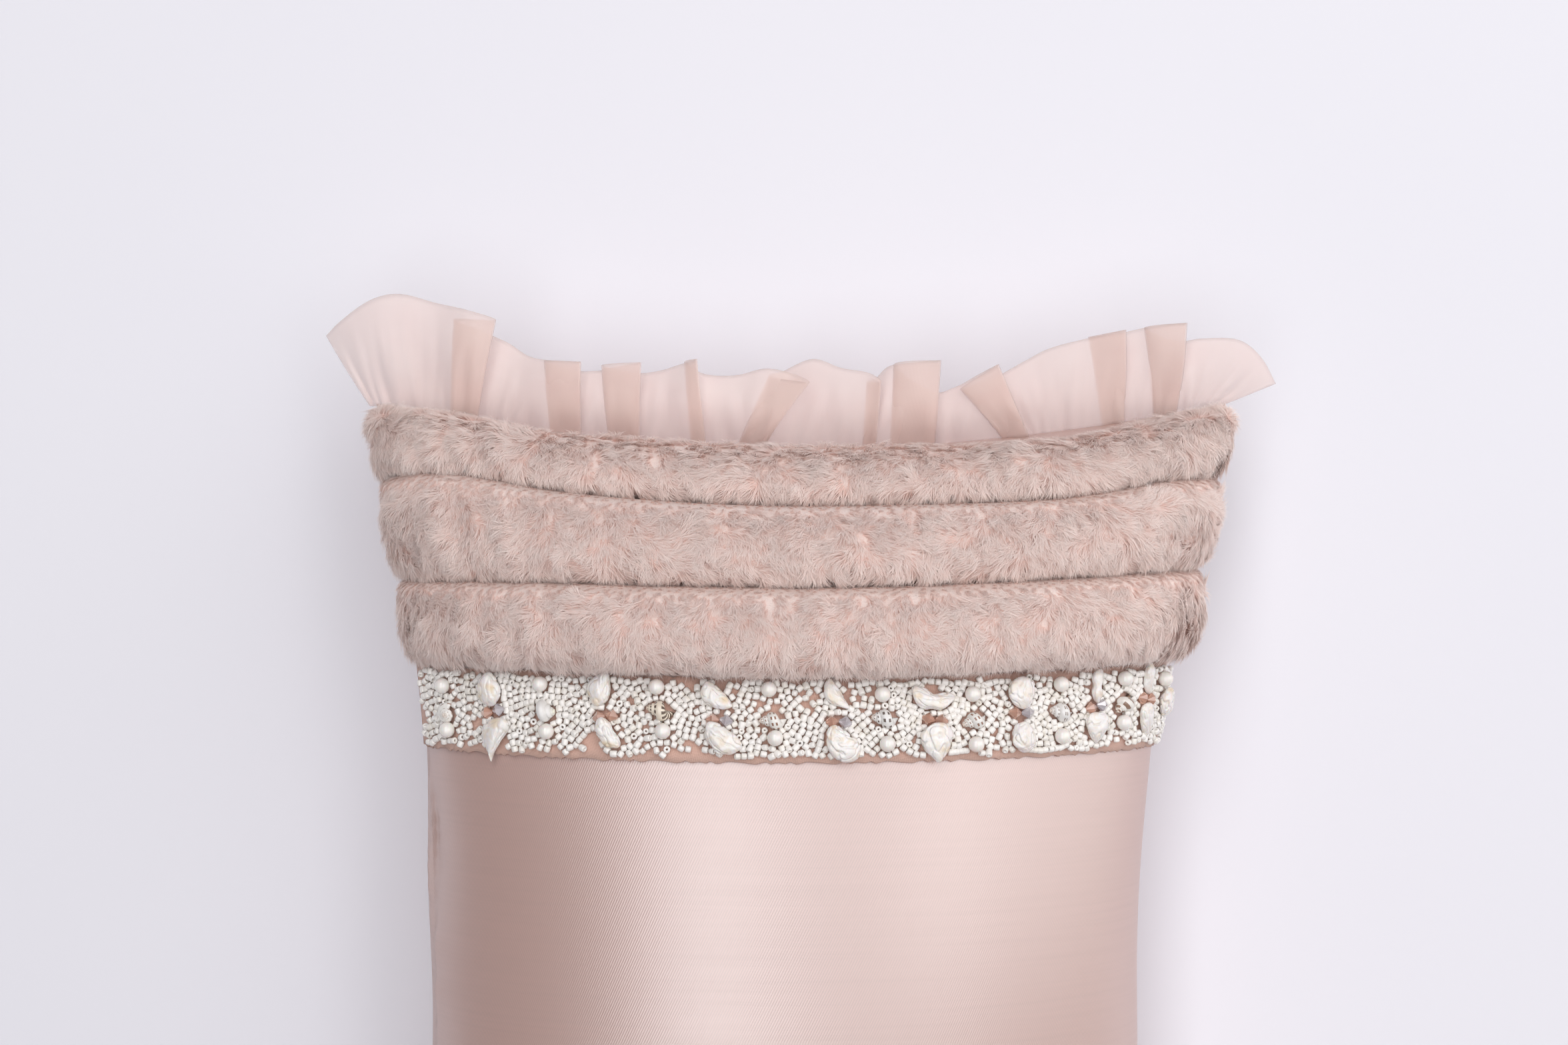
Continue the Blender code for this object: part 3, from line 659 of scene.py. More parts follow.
def nylon_material():
    material, tree, shader = new_material("rose_nylon", Roughness=0.38, Coat_Weight=0.2, Coat_Roughness=0.3)
    cloud = noise_fac(tree, object_place(tree), 400, 2.0)
    paint(tree, shader, ramp(tree, cloud, (0.3, (0.50, 0.30, 0.27)), (0.7, (0.58, 0.37, 0.34))))
    add_bump(tree, shader, cloud, 0.05 * MM, 0.4)
    return material


def nickel_material():
    """Nickel plate with fine wear scratches."""
    material, tree, shader = new_material("nickel_plate", Metallic=1.0, Roughness=0.25)
    scratches = noise_fac(tree, object_place(tree, (200, 3000, 3000)), 1.0, 4.0, 0.65)
    wear = noise_fac(tree, object_place(tree), 500, 3.0)
    paint(tree, shader, ramp(tree, wear, (0.3, (0.66, 0.63, 0.58)), (0.7, (0.78, 0.76, 0.72))))
    paint(tree, shader, grey_ramp(tree, scratches, (0.3, 0.18), (0.75, 0.40)), "Roughness")
    add_bump(tree, shader, scratches, 0.02 * MM, 0.4)
    return material


# ---------------------------------------------------------------- the case and what it holds
def pucker_depth(u, v, side):
    """Small puckers beside the side seams, dying out towards the middle."""
    depth = settings().case.pucker
    along = HALF_LENGTH * v
    edge = (1 - np.abs(u)) * 150 * MM
    wave = (0.55 * np.sin(along / (1.15 * MM) + 4 * np.sin(along / (9 * MM)) + 2 * side)
            + 0.45 * np.sin(along / (2.7 * MM) + 3 * np.sin(along / (21 * MM))))
    near = np.exp(-edge / (5 * MM)) * np.minimum(1, edge / (1.2 * MM))
    groove = 1.3 * MM * np.exp(-(edge / (1.2 * MM)) ** 2)
    broad = 1.3 * MM * np.sin(along / (13 * MM) + side + np.sign(u)) * np.exp(-edge / (16 * MM))
    corner = np.hypot((1 - np.abs(u)) * 1.1, 1 - np.abs(v))
    bearing = np.arctan2(1 - np.abs(v), (1 - np.abs(u)) * 1.1)
    drag = 1.5 * MM * np.sin(11 * bearing + 2 * side + u) * np.exp(-((corner - 0.30) / 0.16) ** 2)
    hem = 0.8 * MM * np.sin(HALF_WIDTH * u / (4.1 * MM) + 3 * np.sin(HALF_WIDTH * u / (17 * MM)) + side)
    hem = hem * np.exp(-(1 - np.abs(v)) / 0.05) * (v < 0)
    near_side = (depth * wave * near - groove + broad * np.minimum(1, edge / (4 * MM))) * (1 - v ** 8)
    return near_side + drag * np.where(v < 0, 1.0, 0.3) + hem * (1 - np.abs(v) ** 30)


def case_cover(u, v, side):
    """The puckered satin, with its edges left exactly on the seams."""
    points, _, _, out = surface_axes(
        lambda a, b: case_points(a, b, side), np.clip(u, -RIM, RIM), np.clip(v, -RIM, RIM))
    rim = (np.abs(u) > RIM) | (np.abs(v) > RIM)
    exact = case_points(u, v, side)
    moved = points + (side * pucker_depth(u, v, side))[:, None] * out
    moved[:, 2] = np.maximum(moved[:, 2], 0.0)
    return np.where(rim[:, None], exact, moved)


def insert_points(a, b, side):
    """The stuffed bag inside the case, its ends closing in a rounded edge."""
    v = 0.93 * end_spaced(b)
    points = case_points(a, v, side, 2.8 * MM, 1.8 * MM)
    middle = seam_line(v)
    points[:, 2] = middle + (points[:, 2] - middle) * np.sqrt(np.maximum(0, 1 - b ** 10))
    return points


class PILLOW_OT_case(bpy.types.Operator):
    """Make the satin case, one closed cover with its side seams rolled to the left"""

    bl_idname = "ring_pillow.case"
    bl_label = "Satin case"

    def execute(self, context):
        case = settings().case
        front = shaped_grid("front", 150, 300, lambda a, b: case_cover(a, end_spaced(b), 1))
        back = shaped_grid("back", 150, 300, lambda a, b: case_cover(a, end_spaced(b), -1), flip=True)
        back.polygons.foreach_set("material_index", np.ones(len(back.polygons), np.int32))
        mesh = join_meshes("satin_case", [front, back], merge=0.01 * MM)
        satin = satin_material("dusty_pink_satin", tuple(case.satin), 2.95, 0.33)
        backing = satin_material("backing_satin", tuple(case.backing), 1.7, 0.5)
        piece = add_piece("satin_case", mesh, [satin, backing],
                          replaces=("front_panel", "back_panel"))
        return {"FINISHED"}


class PILLOW_OT_filling(bpy.types.Operator):
    """Make the insert and the wadding that fill the case and the rolls"""

    bl_idname = "ring_pillow.filling"
    bl_label = "Insert and wadding"

    def execute(self, context):
        ticking = cloth_material("white_ticking", (0.86, 0.84, 0.80), 900)
        upper = shaped_grid("upper_half", 60, 90, lambda a, b: insert_points(a, b, 1))
        lower = shaped_grid("lower_half", 60, 90, lambda a, b: insert_points(a, b, -1), flip=True)
        mesh = join_meshes("insert_bag", [upper, lower], merge=0.01 * MM)
        piece = add_piece("insert_bag", mesh, ticking, replaces=("pillow_insert",))
        wadding = wadding_material()
        for name in ROLL_NAMES:
            bm = bmesh.new()
            bmesh.ops.create_uvsphere(bm, u_segments=48, v_segments=24, radius=1.0,
                                      matrix=Matrix.Rotation(math.pi / 2, 4, "Y"))
            mesh = finished(bm, f"wadding_{name}")
            co = coordinates(mesh)
            a = np.clip(co[:, 0], -1, 1)
            fat = np.sqrt(np.maximum(1e-6, 1 - a * a))
            ends = np.minimum(1, fat / 0.35)
            s, c = co[:, 1] / fat * ends, co[:, 2] / fat * ends
            middle, span = roll_span(name)
            height = (roll_crown(name, a) - 5.2 * MM) * (0.5 + 0.5 * c)
            set_coordinates(mesh, raised_points(0.92 * a, middle + 0.6 * span * s,
                                                ROLL_BASE_LIFT + 0.8 * MM + np.maximum(height, 0)))
            piece = add_piece(f"wadding_{name}", mesh, wadding,
                              replaces=(f"roll_padding_{name}",))
        return {"FINISHED"}


# ---------------------------------------------------------------- fur rolls
def roll_span(name):
    start = HEAD_MARGIN + sum(ROLL_WIDTHS[each] for each in ROLL_NAMES[:ROLL_NAMES.index(name)])
    width = ROLL_WIDTHS[name]
    return from_head(start + width / 2), (width - 0.7 * MM) / (2 * HALF_LENGTH)


def roll_crown(name, a):
    return ROLL_END_CROWN + (ROLL_CROWNS[name] - ROLL_END_CROWN) * (1 - np.abs(a) ** 3)


# How far each line between the rolls lies from its even place, towards the head in
# millimetres, at shares across the front; the head edge of the upper roll comes first.
LINE_SHIFTS = (
    ((-1, 0.5), (-0.8, 1.5), (-0.6, 2.5), (-0.42, 0.0), (-0.2, 0.5), (0.1, 0.0),
     (0.42, -2.6), (0.6, 0.0), (0.8, 1.0), (1, 0.5)),
    ((-1, -0.5), (-0.8, 2.5), (-0.62, 4.6), (-0.42, 1.5), (-0.2, 0.5), (0.1, 0.0),
     (0.42, -1.5), (0.6, 1.0), (0.8, 1.0), (1, 0.0)),
    ((-1, -3.6), (-0.8, -3.0), (-0.5, -0.8), (-0.2, 0.0), (0.4, 0.0), (1, 0.0)),
    ((-1, 0.0), (-0.5, 0.5), (0, 0.0), (0.5, 0.8), (1, 1.5)),
)


def line_shift(index, a):
    shares, shifts = np.array(LINE_SHIFTS[index]).T
    fine = np.linspace(-1, 1, 201)
    rough = np.pad(np.interp(fine, shares, shifts), 10, mode="edge")
    window = np.hanning(23)
    soft = np.convolve(rough, window[1:-1] / window.sum(), "valid")
    return np.interp(a, fine, soft[:201]) * MM / HALF_LENGTH


def pressed_share(name, b):
    """Where the pile is short: beside the creases, widest on the side towards the head."""
    head_side = smoothstep(0.30, 0.62, b) * (0.25 if name == "upper" else 1.0)
    return np.clip(head_side + 0.7 * smoothstep(0.55, 0.9, -b), 0, 1)


def roll_place(name, a, b, sink):
    """Point of a roll: a runs from side seam to side seam, b from its foot edge to its head edge."""
    middle, span = roll_span(name)
    index = ROLL_NAMES.index(name)
    s = end_spaced(np.clip(b, -1, 1))
    dome = np.sqrt(np.maximum(0, 1 - np.abs(s) ** 2.6))
    closing = np.sqrt(1 - np.clip((np.abs(a) - 0.955) / 0.046, 0, 1) ** 2)
    shift = line_shift(index, a) * (1 + s) / 2 + line_shift(index + 1, a) * (1 - s) / 2
    u, v = 0.985 * a, middle + shift + span * s * (0.35 + 0.65 * closing)
    lumps = 0.5 * MM * np.sin(37 * a + 5 * np.sin(11 * a) + len(name)) * dome
    depth = sink * (1 - 0.75 * pressed_share(name, b))
    lift = ROLL_BASE_LIFT + (np.maximum(roll_crown(name, a) - depth, 1.2 * MM) * dome + lumps) * closing
    return raised_points(u, np.clip(v, -1, 0.998), lift)


def tuft_template(rng, strands, pile, lean):
    """A small tuft: flat tapering strands that rise, bend over and draw together at their tips."""
    bm = bmesh.new()
    uv_layer = bm.loops.layers.uv.new("OFBake")
    tip_layer = bm.verts.layers.float.new("tip")
    gathered = rng.uniform(0.3, 0.7)
    for _ in range(strands):
        angle, reach = rng.uniform(0, 2 * math.pi), 1.3 * MM * math.sqrt(rng.random())
        root = Vector((reach * math.cos(angle), reach * math.sin(angle), 0))
        length = pile * rng.uniform(0.7, 1.08)
        width = rng.uniform(0.05, 0.085) * MM
        sway = rng.uniform(-0.5, 0.5)
        roll = rng.uniform(-0.7, 0.7)
        side = Vector((0, math.cos(roll), math.sin(roll)))
        rungs = []
        for share in (0.0, 0.5):
            forward = length * (lean * share + (1 - lean) * 0.6 * share * share)
            rise = length * (1 - lean) * (share - 0.42 * share * share)
            drift = length * sway * share * share
            centre = Vector((forward, drift, rise)) + root * (1 - gathered * share)
            half = width * (1 - 0.3 * share)
            pair = [bm.verts.new(centre + sign * half * side) for sign in (1, -1)]
            for vert in pair:
                vert[tip_layer] = share
            rungs.append(pair)
        end = length * Vector((lean + (1 - lean) * 0.6, sway, (1 - lean) * 0.56))
        tip = bm.verts.new(end + root * (1 - gathered))
        tip[tip_layer] = 1.0
        low, high = rungs
        blade = bm.faces.new((low[0], low[1], high[1], high[0]))
        point = bm.faces.new((tip, high[0], high[1]))
        for face in (blade, point):
            for loop in face.loops:
                loop[uv_layer].uv = (0.5 + loop.vert.co.y / (6 * MM), loop.vert[tip_layer])
    bm.normal_update()
    return finished(bm, "tuft", normals=False)


def flow_angle(point, name):
    """Direction in which the pile lies, turning slowly over the roll."""
    place = Vector(point) / (15 * MM) + Vector((0, 0, 7.3 * ROLL_NAMES.index(name)))
    small = Vector(point) / (4.6 * MM) + Vector((31.7, 0, 3.1))
    return -math.pi / 2 + 2.6 * noise.noise(place) + 1.9 * noise.noise(small)


def tuft_places(name):
    """(places, points) of the tufts of one roll."""
    fur = settings().fur
    spacing = fur.spacing * 1.0
    columns = int(ROLL_LENGTH / spacing)
    rows = int(ROLL_GIRTH / spacing)
    across_steps = (np.arange(columns) + 0.5) / columns * 2 - 1
    along_steps = (np.arange(rows) + 0.5) / rows * 2 - 1
    a, b = np.meshgrid(across_steps, along_steps)
    jitter = np.random.default_rng(ROLL_NAMES.index(name) + 3)
    a = np.clip(a.ravel() + jitter.uniform(-1, 1, a.size) / columns, -0.999, 0.999)
    b = np.clip(b.ravel() + jitter.uniform(-1, 1, b.size) / rows, -0.975, 0.985)
    points, across, along, out = surface_axes(
        lambda p, q: roll_place(name, p, q, fur.pile_height), a, b, 2e-3)
    pressed = pressed_share(name, b)
    angles = np.array([flow_angle(p, name) for p in points])
    angles += jitter.normal(0, 0.22, len(angles))
    angles = angles * (1 - 0.8 * pressed) - np.pi / 2 * 0.8 * pressed
    lie_x, lie_y = np.cos(angles), np.sin(angles)
    to_end = smoothstep(0.90, 0.99, np.abs(a))
    to_head = smoothstep(0.35, 0.85, b) * (name == "upper")
    lie_x = (lie_x * (1 - to_head)) * (1 - to_end) + np.sign(a) * to_end
    lie_y = (lie_y * (1 - to_head) + to_head) * (1 - to_end) - 0.3 * to_end
    forward = unit(lie_x[:, None] * across + lie_y[:, None] * along)
    sideways = np.cross(out, forward)
    waves = np.array([noise.noise(Vector(p) / (3.4 * MM)) for p in points])
    size = (jitter.uniform(0.85, 1.10, len(a)) + 0.15 * waves) * (1 - 0.55 * pressed)
    height = size * (1 - 0.4 * pressed) * (1 + 0.5 * waves)
    places = matrices(points, size[:, None] * forward, size[:, None] * sideways, height[:, None] * out)
    return places, points


class PILLOW_OT_fur(bpy.types.Operator):
    """Make the three fur rolls, each a knitted ground with its pile of tufts"""

    bl_idname = "ring_pillow.fur"
    bl_label = "Fur rolls"

    def execute(self, context):
        fur = settings().fur
        root, tip = tuple(fur.root), tuple(fur.tip)
        ground = fur_ground_material(tuple((low + high) / 2 for low, high in zip(root, tip)))
        pile = fur_material("dusty_pink_pile", root, tip)
        rng = random.Random(11)
        templates = [tuft_template(rng, fur.strands, fur.pile, lean) for lean in TUFT_LEANS]
        for name in ROLL_NAMES:
            mesh = shaped_grid(f"fur_ground_{name}", 200, 40,
                               lambda a, b, n=name: roll_place(n, a, b, fur.pile_height))
            piece = add_piece(f"fur_ground_{name}", mesh, ground,
                              replaces=(f"fur_roll_{name}",))
            places, points = tuft_places(name)
            picks = np.random.default_rng(len(name)).integers(0, len(templates), len(places))
            order = np.argsort(points[:, 0])
            for part, chosen in zip(("left", "centre", "right"), np.array_split(order, 3)):
                made = stamp(f"fur_pile_{name}_{part}", templates, picks[chosen], places[chosen],
                             PILE_SOFTNESS)
                add_piece(made.name, made, pile)
        for template in templates:
            bpy.data.meshes.remove(template)
        return {"FINISHED"}


# ---------------------------------------------------------------- ruffle
# Stations along the ruffle, in millimetres: outer edge x, y and z, then root x.
RUFFLE_STATIONS = (
    (-133.4, 202.9, 35, -121), (-128, 207, 40, -119), (-119, 212.6, 42, -114), (-110.5, 214.2, 43, -108),
    (-100, 211.6, 43, -102), (-91, 209.4, 45, -96), (-82.7, 206.5, 46, -89.5),
    (-95, 207, 42.5, -97), (-88, 204, 38.5, -92),
    (-80, 200.5, 39, -84), (-73.5, 196.4, 40, -78), (-66, 195, 42, -69), (-58.4, 194.6, 45, -59.2),
    (-69, 195, 41.5, -68), (-61, 192.5, 38, -62),
    (-53, 192.4, 39.5, -55), (-47, 193.7, 41, -48.5), (-41.3, 194.4, 45, -42.3),
    (-52.5, 193.8, 41.5, -51), (-43, 191.8, 38, -44),
    (-36.5, 192.2, 39.5, -38), (-30.5, 193.8, 41.5, -31), (-25.1, 195.3, 45, -22.8),
    (-28.5, 194.6, 42, -27), (-23, 191.4, 38.5, -22),
    (-14, 191, 40, -15), (-5, 192.8, 42, -9), (3, 191, 44, -6), (7, 188.6, 45.5, -8.5),
    (-4, 190.5, 41.5, -14), (0, 192.4, 38.5, -8),
    (8.4, 195.7, 40, 3), (16.5, 193, 41.5, 13), (24, 191.6, 43, 21), (27.8, 189, 45, 26.5),
    (24, 189, 41, 23), (27, 190.5, 38.5, 25),
    (30.6, 193.6, 41, 27.6), (37, 194.5, 43, 35), (44.8, 194.9, 46, 43.8),
    (31.8, 194, 41.5, 31), (43, 186.5, 38, 42),
    (50, 187.8, 39.5, 48), (56, 191, 42, 56), (61.2, 193.6, 46, 71),
    (51, 187, 41.5, 64), (62, 191, 38.5, 71),
    (70, 195.3, 39.5, 75), (77, 198.8, 41, 80), (88, 201.6, 42.5, 87), (98, 203.7, 45, 99),
    (88, 202, 41.5, 93), (97, 203.2, 40, 98),
    (106, 204.9, 42.5, 106), (115.3, 205.6, 46, 114.3),
    (104, 204.6, 42, 108), (113.5, 201, 38.5, 115),
    (121, 201.6, 40, 118), (131, 201.2, 41, 121), (138, 196.5, 39, 123.5), (143.3, 188.9, 35, 125.5),
)


def along_spline(stations, count):
    """Smooth points through the stations, evenly shared between them."""
    padded = np.vstack([2 * stations[0] - stations[1], stations, 2 * stations[-1] - stations[-2]])
    at = np.linspace(0, len(stations) - 1, count)
    index = np.minimum(at.astype(int), len(stations) - 2)
    t = (at - index)[:, None]
    p0, p1, p2, p3 = (padded[index + k] for k in range(4))
    return 0.5 * (2 * p1 + (p2 - p0) * t + (2 * p0 - 5 * p1 + 4 * p2 - p3) * t ** 2
                  + (3 * p1 - p0 - 3 * p2 + p3) * t ** 3)


def head_line(x):
    """The head seam at a place across the pillow."""
    share = np.clip((x - HEAD_LEAN) / HALF_WIDTH, -1, 1)
    return HALF_LENGTH - settings().case.head_pull * (1 - np.abs(share) ** 1.8)


class PILLOW_OT_ruffle(bpy.types.Operator):
    """Make the doubled organza ruffle, folded back over itself in soft pleats"""

    bl_idname = "ring_pillow.ruffle"
    bl_label = "Organza ruffle"

    def execute(self, context):
        ruffle = settings().ruffle
        columns, rows = 9 * (len(RUFFLE_STATIONS) - 1), 18
        stations = along_spline(np.array(RUFFLE_STATIONS, float) * MM, columns + 1)
        edge, root_x = stations[:, :3], stations[:, 3]
        root_z = END_SEAM_HEIGHT + 0.3 * (edge[:, 2] - 41 * MM)
        root = np.stack([root_x, head_line(root_x) - 0.5 * MM, root_z], axis=1)
        cloth = np.concatenate([[0], np.cumsum(np.linalg.norm(np.diff(edge, axis=0), axis=1))])

        def place(a, b):
            column = np.rint((a + 1) / 2 * columns).astype(int)
            w = (b + 1) / 2
            points = root[column] + w[:, None] * (edge[column] - root[column])
            gathers = np.array([noise.noise(Vector((c / (4.2 * MM), 1.4 * s, 0.0)))
                                for c, s in zip(cloth[column], w)])
            billow = np.array([noise.noise(Vector((c / (14 * MM), 0.8 * s, 9.0)))
                               for c, s in zip(cloth[column], w)])
            points[:, 2] += 2.2 * ruffle.gather * gathers * (1 - w) ** 1.3
            points[:, 2] += (2.2 * MM * np.sin(np.pi * w) + 3.0 * MM * billow * w * (1.3 - w))
            return points

        mesh = shaped_grid("organza_frill", columns, rows, place)
        piece = add_piece("organza_frill", mesh, organza_material(tuple(ruffle.colour)),
                          replaces=("organza_ruffle",))
        double = piece.modifiers.new("doubled organza", "SOLIDIFY")
        double.thickness = ruffle.layer_gap
        double.offset = 0.0
        return {"FINISHED"}


# ---------------------------------------------------------------- bead band
# Chip and pearl columns: share across the front, then the shift of each ornament from
# the band line towards the head, in millimetres (upper, middle, lower).
PEARL_COLUMNS = ((-0.80, 6.0, -1.9, -6.1), (-0.535, 8.0, 0.3, -4.9), (-0.318, 8.3, 2.1, -3.8),
                 (-0.136, 8.1, -0.3, -5.3), (0.044, 6.5, 0.1, -7.1), (0.198, 6.0, -1.1, -7.8),
                 (0.376, 7.8, 0.3, -6.5), (0.548, 8.4, 1.5, -3.8))
CHIP_COLUMNS = ((-0.656, 5.8, -0.4, -7.2), (-0.416, 7.6, 0.4, -5.0), (-0.222, 5.8, -0.3, -5.6),
                (-0.031, 6.4, -0.3, -6.8), (0.128, 5.0, -1.0, -6.9), (0.290, 5.7, -0.1, -6.2),
                (0.466, 6.8, 1.2, -4.6), (0.642, 8.0, 2.3, -3.2))
EDGE_PEARL = (0.735, 7.5)
EDGE_CHIP = (0.76, 1.0)

# Each chip: length, width and thickness in millimetres, turn in degrees, bend, taper,
# waist, tail and how deeply its crease is folded.
CHIP_FORMS = {
    "upper": (
        (9.3, 7.0, 3.8, 10, 0.10, -0.10, 0.00, 0.0, 0.3), (9.6, 6.4, 3.8, -12, 0.25, -0.35, 0.00, 0.3, 0.4),
        (9.6, 5.8, 3.4, 52, 0.20, 0.15, 0.12, 0.0, 0.4), (9.2, 4.4, 3.0, 38, 0.60, 0.25, 0.00, 0.5, 0.3),
        (11.6, 6.6, 3.4, 82, 0.60, 0.10, 0.38, 0.2, 0.5), (9.0, 7.6, 4.0, 8, 0.12, 0.30, 0.00, 0.1, 0.5),
        (9.2, 4.2, 3.2, -6, 0.30, 0.05, 0.48, 0.0, 0.2), (8.6, 3.9, 3.0, -4, 0.25, 0.10, 0.25, 0.0, 0.2),
    ),
    "lower": (
        (11.0, 6.6, 3.6, -16, 0.55, 0.40, 0.00, 0.8, 0.4), (9.6, 5.4, 3.4, 36, 0.20, 0.05, 0.22, 0.0, 0.5),
        (11.2, 7.0, 3.8, 50, 0.25, -0.15, 0.10, 0.0, 0.7), (11.2, 7.8, 3.8, 40, 0.25, -0.30, 0.05, 0.1, 0.7),
        (10.2, 8.4, 3.8, -4, 0.15, 0.35, 0.00, 0.2, 0.6), (8.4, 6.8, 3.8, 4, 0.10, -0.10, 0.00, 0.0, 0.6),
        (8.2, 7.2, 3.6, -24, 0.35, 0.35, 0.00, 0.2, 0.6), (9.4, 5.4, 3.2, 8, 0.20, 0.10, 0.15, 0.4, 0.4),
    ),
}

# Each shell: look, turn in degrees, height of its spire and share of the usual size.
SHELL_FORMS = (("dotted", 60, 0.30, 0.42), ("plain", 5, 0.75, 1.0), ("zebra", 172, 1.0, 1.0),
               ("dotted", 185, 1.1, 1.0), ("dashed", 178, 1.0, 1.0), ("dotted", 200, 1.05, 1.0),
               ("lined", 172, 1.0, 1.0), ("banded", 215, 1.0, 1.0))


def band_place(u, shift, lift, turn=0.0, tilt=0.0):
    """Place on the band: z out of the cloth, y towards the head."""
    points, across, along, out = surface_axes(
        case_points, np.array([u]), np.array([from_head(BAND_LINE - shift * MM)]))
    place = Matrix((across[0], along[0], out[0])).transposed().to_4x4()
    place.translation = Vector(points[0] + lift * out[0])
    return place @ Matrix.Rotation(turn, 4, "Z") @ Matrix.Rotation(tilt, 4, "X")


def bead_template(diameter):
    """A seed bead: a rounded tube wall spun round its hole."""
    bm = bmesh.new()
    uv_layer = bm.loops.layers.uv.new("OFBake")
    radius, half = diameter / 2, 0.46 * diameter
    profile = ((0.36, 0.82), (0.66, 1.0), (0.92, 0.86), (1.0, 0.5),
               (1.0, -0.5), (0.92, -0.86), (0.66, -1.0), (0.36, -0.82))
    verts = [bm.verts.new((radius * r, 0, half * h)) for r, h in profile]
    edges = [bm.edges.new((first, second)) for first, second in zip(verts, verts[1:])]
    edges.append(bm.edges.new((verts[-1], verts[0])))
    bmesh.ops.spin(bm, geom=verts + edges, cent=(0, 0, 0), axis=(0, 0, 1), angle=2 * math.pi,
                   steps=8, use_merge=True)
    bmesh.ops.recalc_face_normals(bm, faces=bm.faces)
    for face in bm.faces:
        for loop in face.loops:
            x, y, z = loop.vert.co
            loop[uv_layer].uv = (0.5 + math.atan2(y, x) / (2 * math.pi), 0.5 + z / (2 * half))
    return finished(bm, "seed_bead", normals=False)


def band_ruler():
    """Shares across the front and the distance along the band line that each has."""
    u = np.linspace(-0.935, 0.985, 600)
    line = case_points(u, from_head(BAND_LINE))
    steps = np.linalg.norm(np.diff(line, axis=0), axis=1)
    return u, np.concatenate([[0], np.cumsum(steps)])


def scatter_beads(obstacles, count=1020):
    """Beads pushed apart until they fill the band round its ornaments: (distance, shift, angle)."""
    band = settings().band
    rng = np.random.default_rng(band.seed)
    length, half = band_ruler()[1][-1], band.width / 2
    spots = np.stack([rng.uniform(0, length, count), rng.uniform(-half, half, count)], axis=1)
    reach = 0.42 * band.bead
    edge = half + 0.5 * MM * np.sin(spots[:, 0] / (2.3 * MM)) - 0.5 * MM
    for _ in range(120):
        order = np.argsort(spots[:, 0])
        spots, edge = spots[order], edge[order]
        push = np.zeros_like(spots)
        for step in range(1, 26):
            gap = spots[step:] - spots[:-step]
            away = np.linalg.norm(gap, axis=1, keepdims=True) + 1e-9
            shove = 0.5 * np.maximum(0, 1.02 * band.bead - away) * gap / away
            push[step:] += 0.45 * shove
            push[:-step] -= 0.45 * shove
        spots += push
        for x, y, reach_x, reach_y, turn in obstacles:
            axes = np.array([[math.cos(turn), math.sin(turn)], [-math.sin(turn), math.cos(turn)]])
            inner = (spots - (x, y)) @ axes.T / (reach_x + reach, reach_y + reach)
            far = np.linalg.norm(inner, axis=1, keepdims=True) + 1e-9
            outer = (inner / far) * (reach_x + reach, reach_y + reach) @ axes + (x, y)
            spots = np.where(far < 1, outer, spots)
        spots[:, 0] = np.clip(spots[:, 0], 0, length)
        spots[:, 1] = np.clip(spots[:, 1], -edge, edge)
    nearest = np.full(len(spots), np.inf)
    angle = rng.uniform(0, math.pi, len(spots))
    for step in range(1, 26):
        gap = spots[step:] - spots[:-step]
        away = np.linalg.norm(gap, axis=1)
        for start in (0, step):
            part = slice(start, start + len(gap))
            closer = away < nearest[part]
            angle[part] = np.where(closer, np.arctan2(gap[:, 1], gap[:, 0]), angle[part])
            nearest[part] = np.where(closer, away, nearest[part])
    kept = (nearest > 0.62 * band.bead) | (rng.random(len(spots)) < 0.5)
    return np.column_stack([spots, angle])[kept]


def bead_places(beads):
    """Each bead's place on the tape, lying on its side and a little askew."""
    band = settings().band
    rng = np.random.default_rng(band.seed)
    u_ruler, ruler = band_ruler()
    s, t, angle = beads.T
    u = np.interp(s, ruler, u_ruler)
    v = from_head(BAND_LINE - t)
    points, across, along, out = surface_axes(case_points, u, v)
    lift = TAPE_TOP + 0.5 * band.bead + rng.uniform(-0.1, 0.45, len(s)) * MM
    axis = np.cos(angle)[:, None] * across + np.sin(angle)[:, None] * along
    tilt = rng.normal(0, 0.25, len(s)) + np.where(rng.random(len(s)) < 0.04, 1.3, 0)
    axis = unit(np.cos(tilt)[:, None] * axis + np.sin(tilt)[:, None] * out)
    side = unit(np.cross(out + 0.01 * across, axis))
    size = rng.uniform(0.90, 1.08, (len(s), 1))
    long = rng.uniform(0.88, 1.12, (len(s), 1))
    seats = points + lift[:, None] * out
    return matrices(seats, size * side, size * np.cross(axis, side), size * long * axis)


def chip_mesh(name, form, number):
    """A baroque chip from a ball: tapered, waisted, bent, creased and lumpy."""
    length, width, thickness, _, bend, taper, waist, tail, crease = form
    bm = bmesh.new()
    bm.loops.layers.uv.new("OFBake")
    bmesh.ops.create_icosphere(bm, subdivisions=5, radius=1.0, calc_uvs=True)
    shift = Vector((7.1 * number, 3.3, 1.7 * len(name)))
    for vert in bm.verts:
        x, y, z = vert.co
        lumps = noise.noise(vert.co * 1.3 + shift)
        ridge = abs(noise.noise(vert.co * 1.7 - shift))
        low = max(0.0, -y)
        girth = 1 + taper * y - waist * math.exp(-(y / 0.35) ** 2) - 0.65 * tail * low ** 1.5
        swell = 1 + 0.20 * lumps - crease * 0.32 * math.exp(-(ridge / 0.10) ** 2)
        vert.co = (width / 2 * MM * (x * girth * swell + bend * (y * y - 0.4)),
                   length / 2 * MM * (y * (1 + 0.12 * lumps) - 0.25 * tail * low * low),
                   thickness / 2 * MM * z * (0.75 + 0.25 * girth) * swell)
    return finished(bm, name)


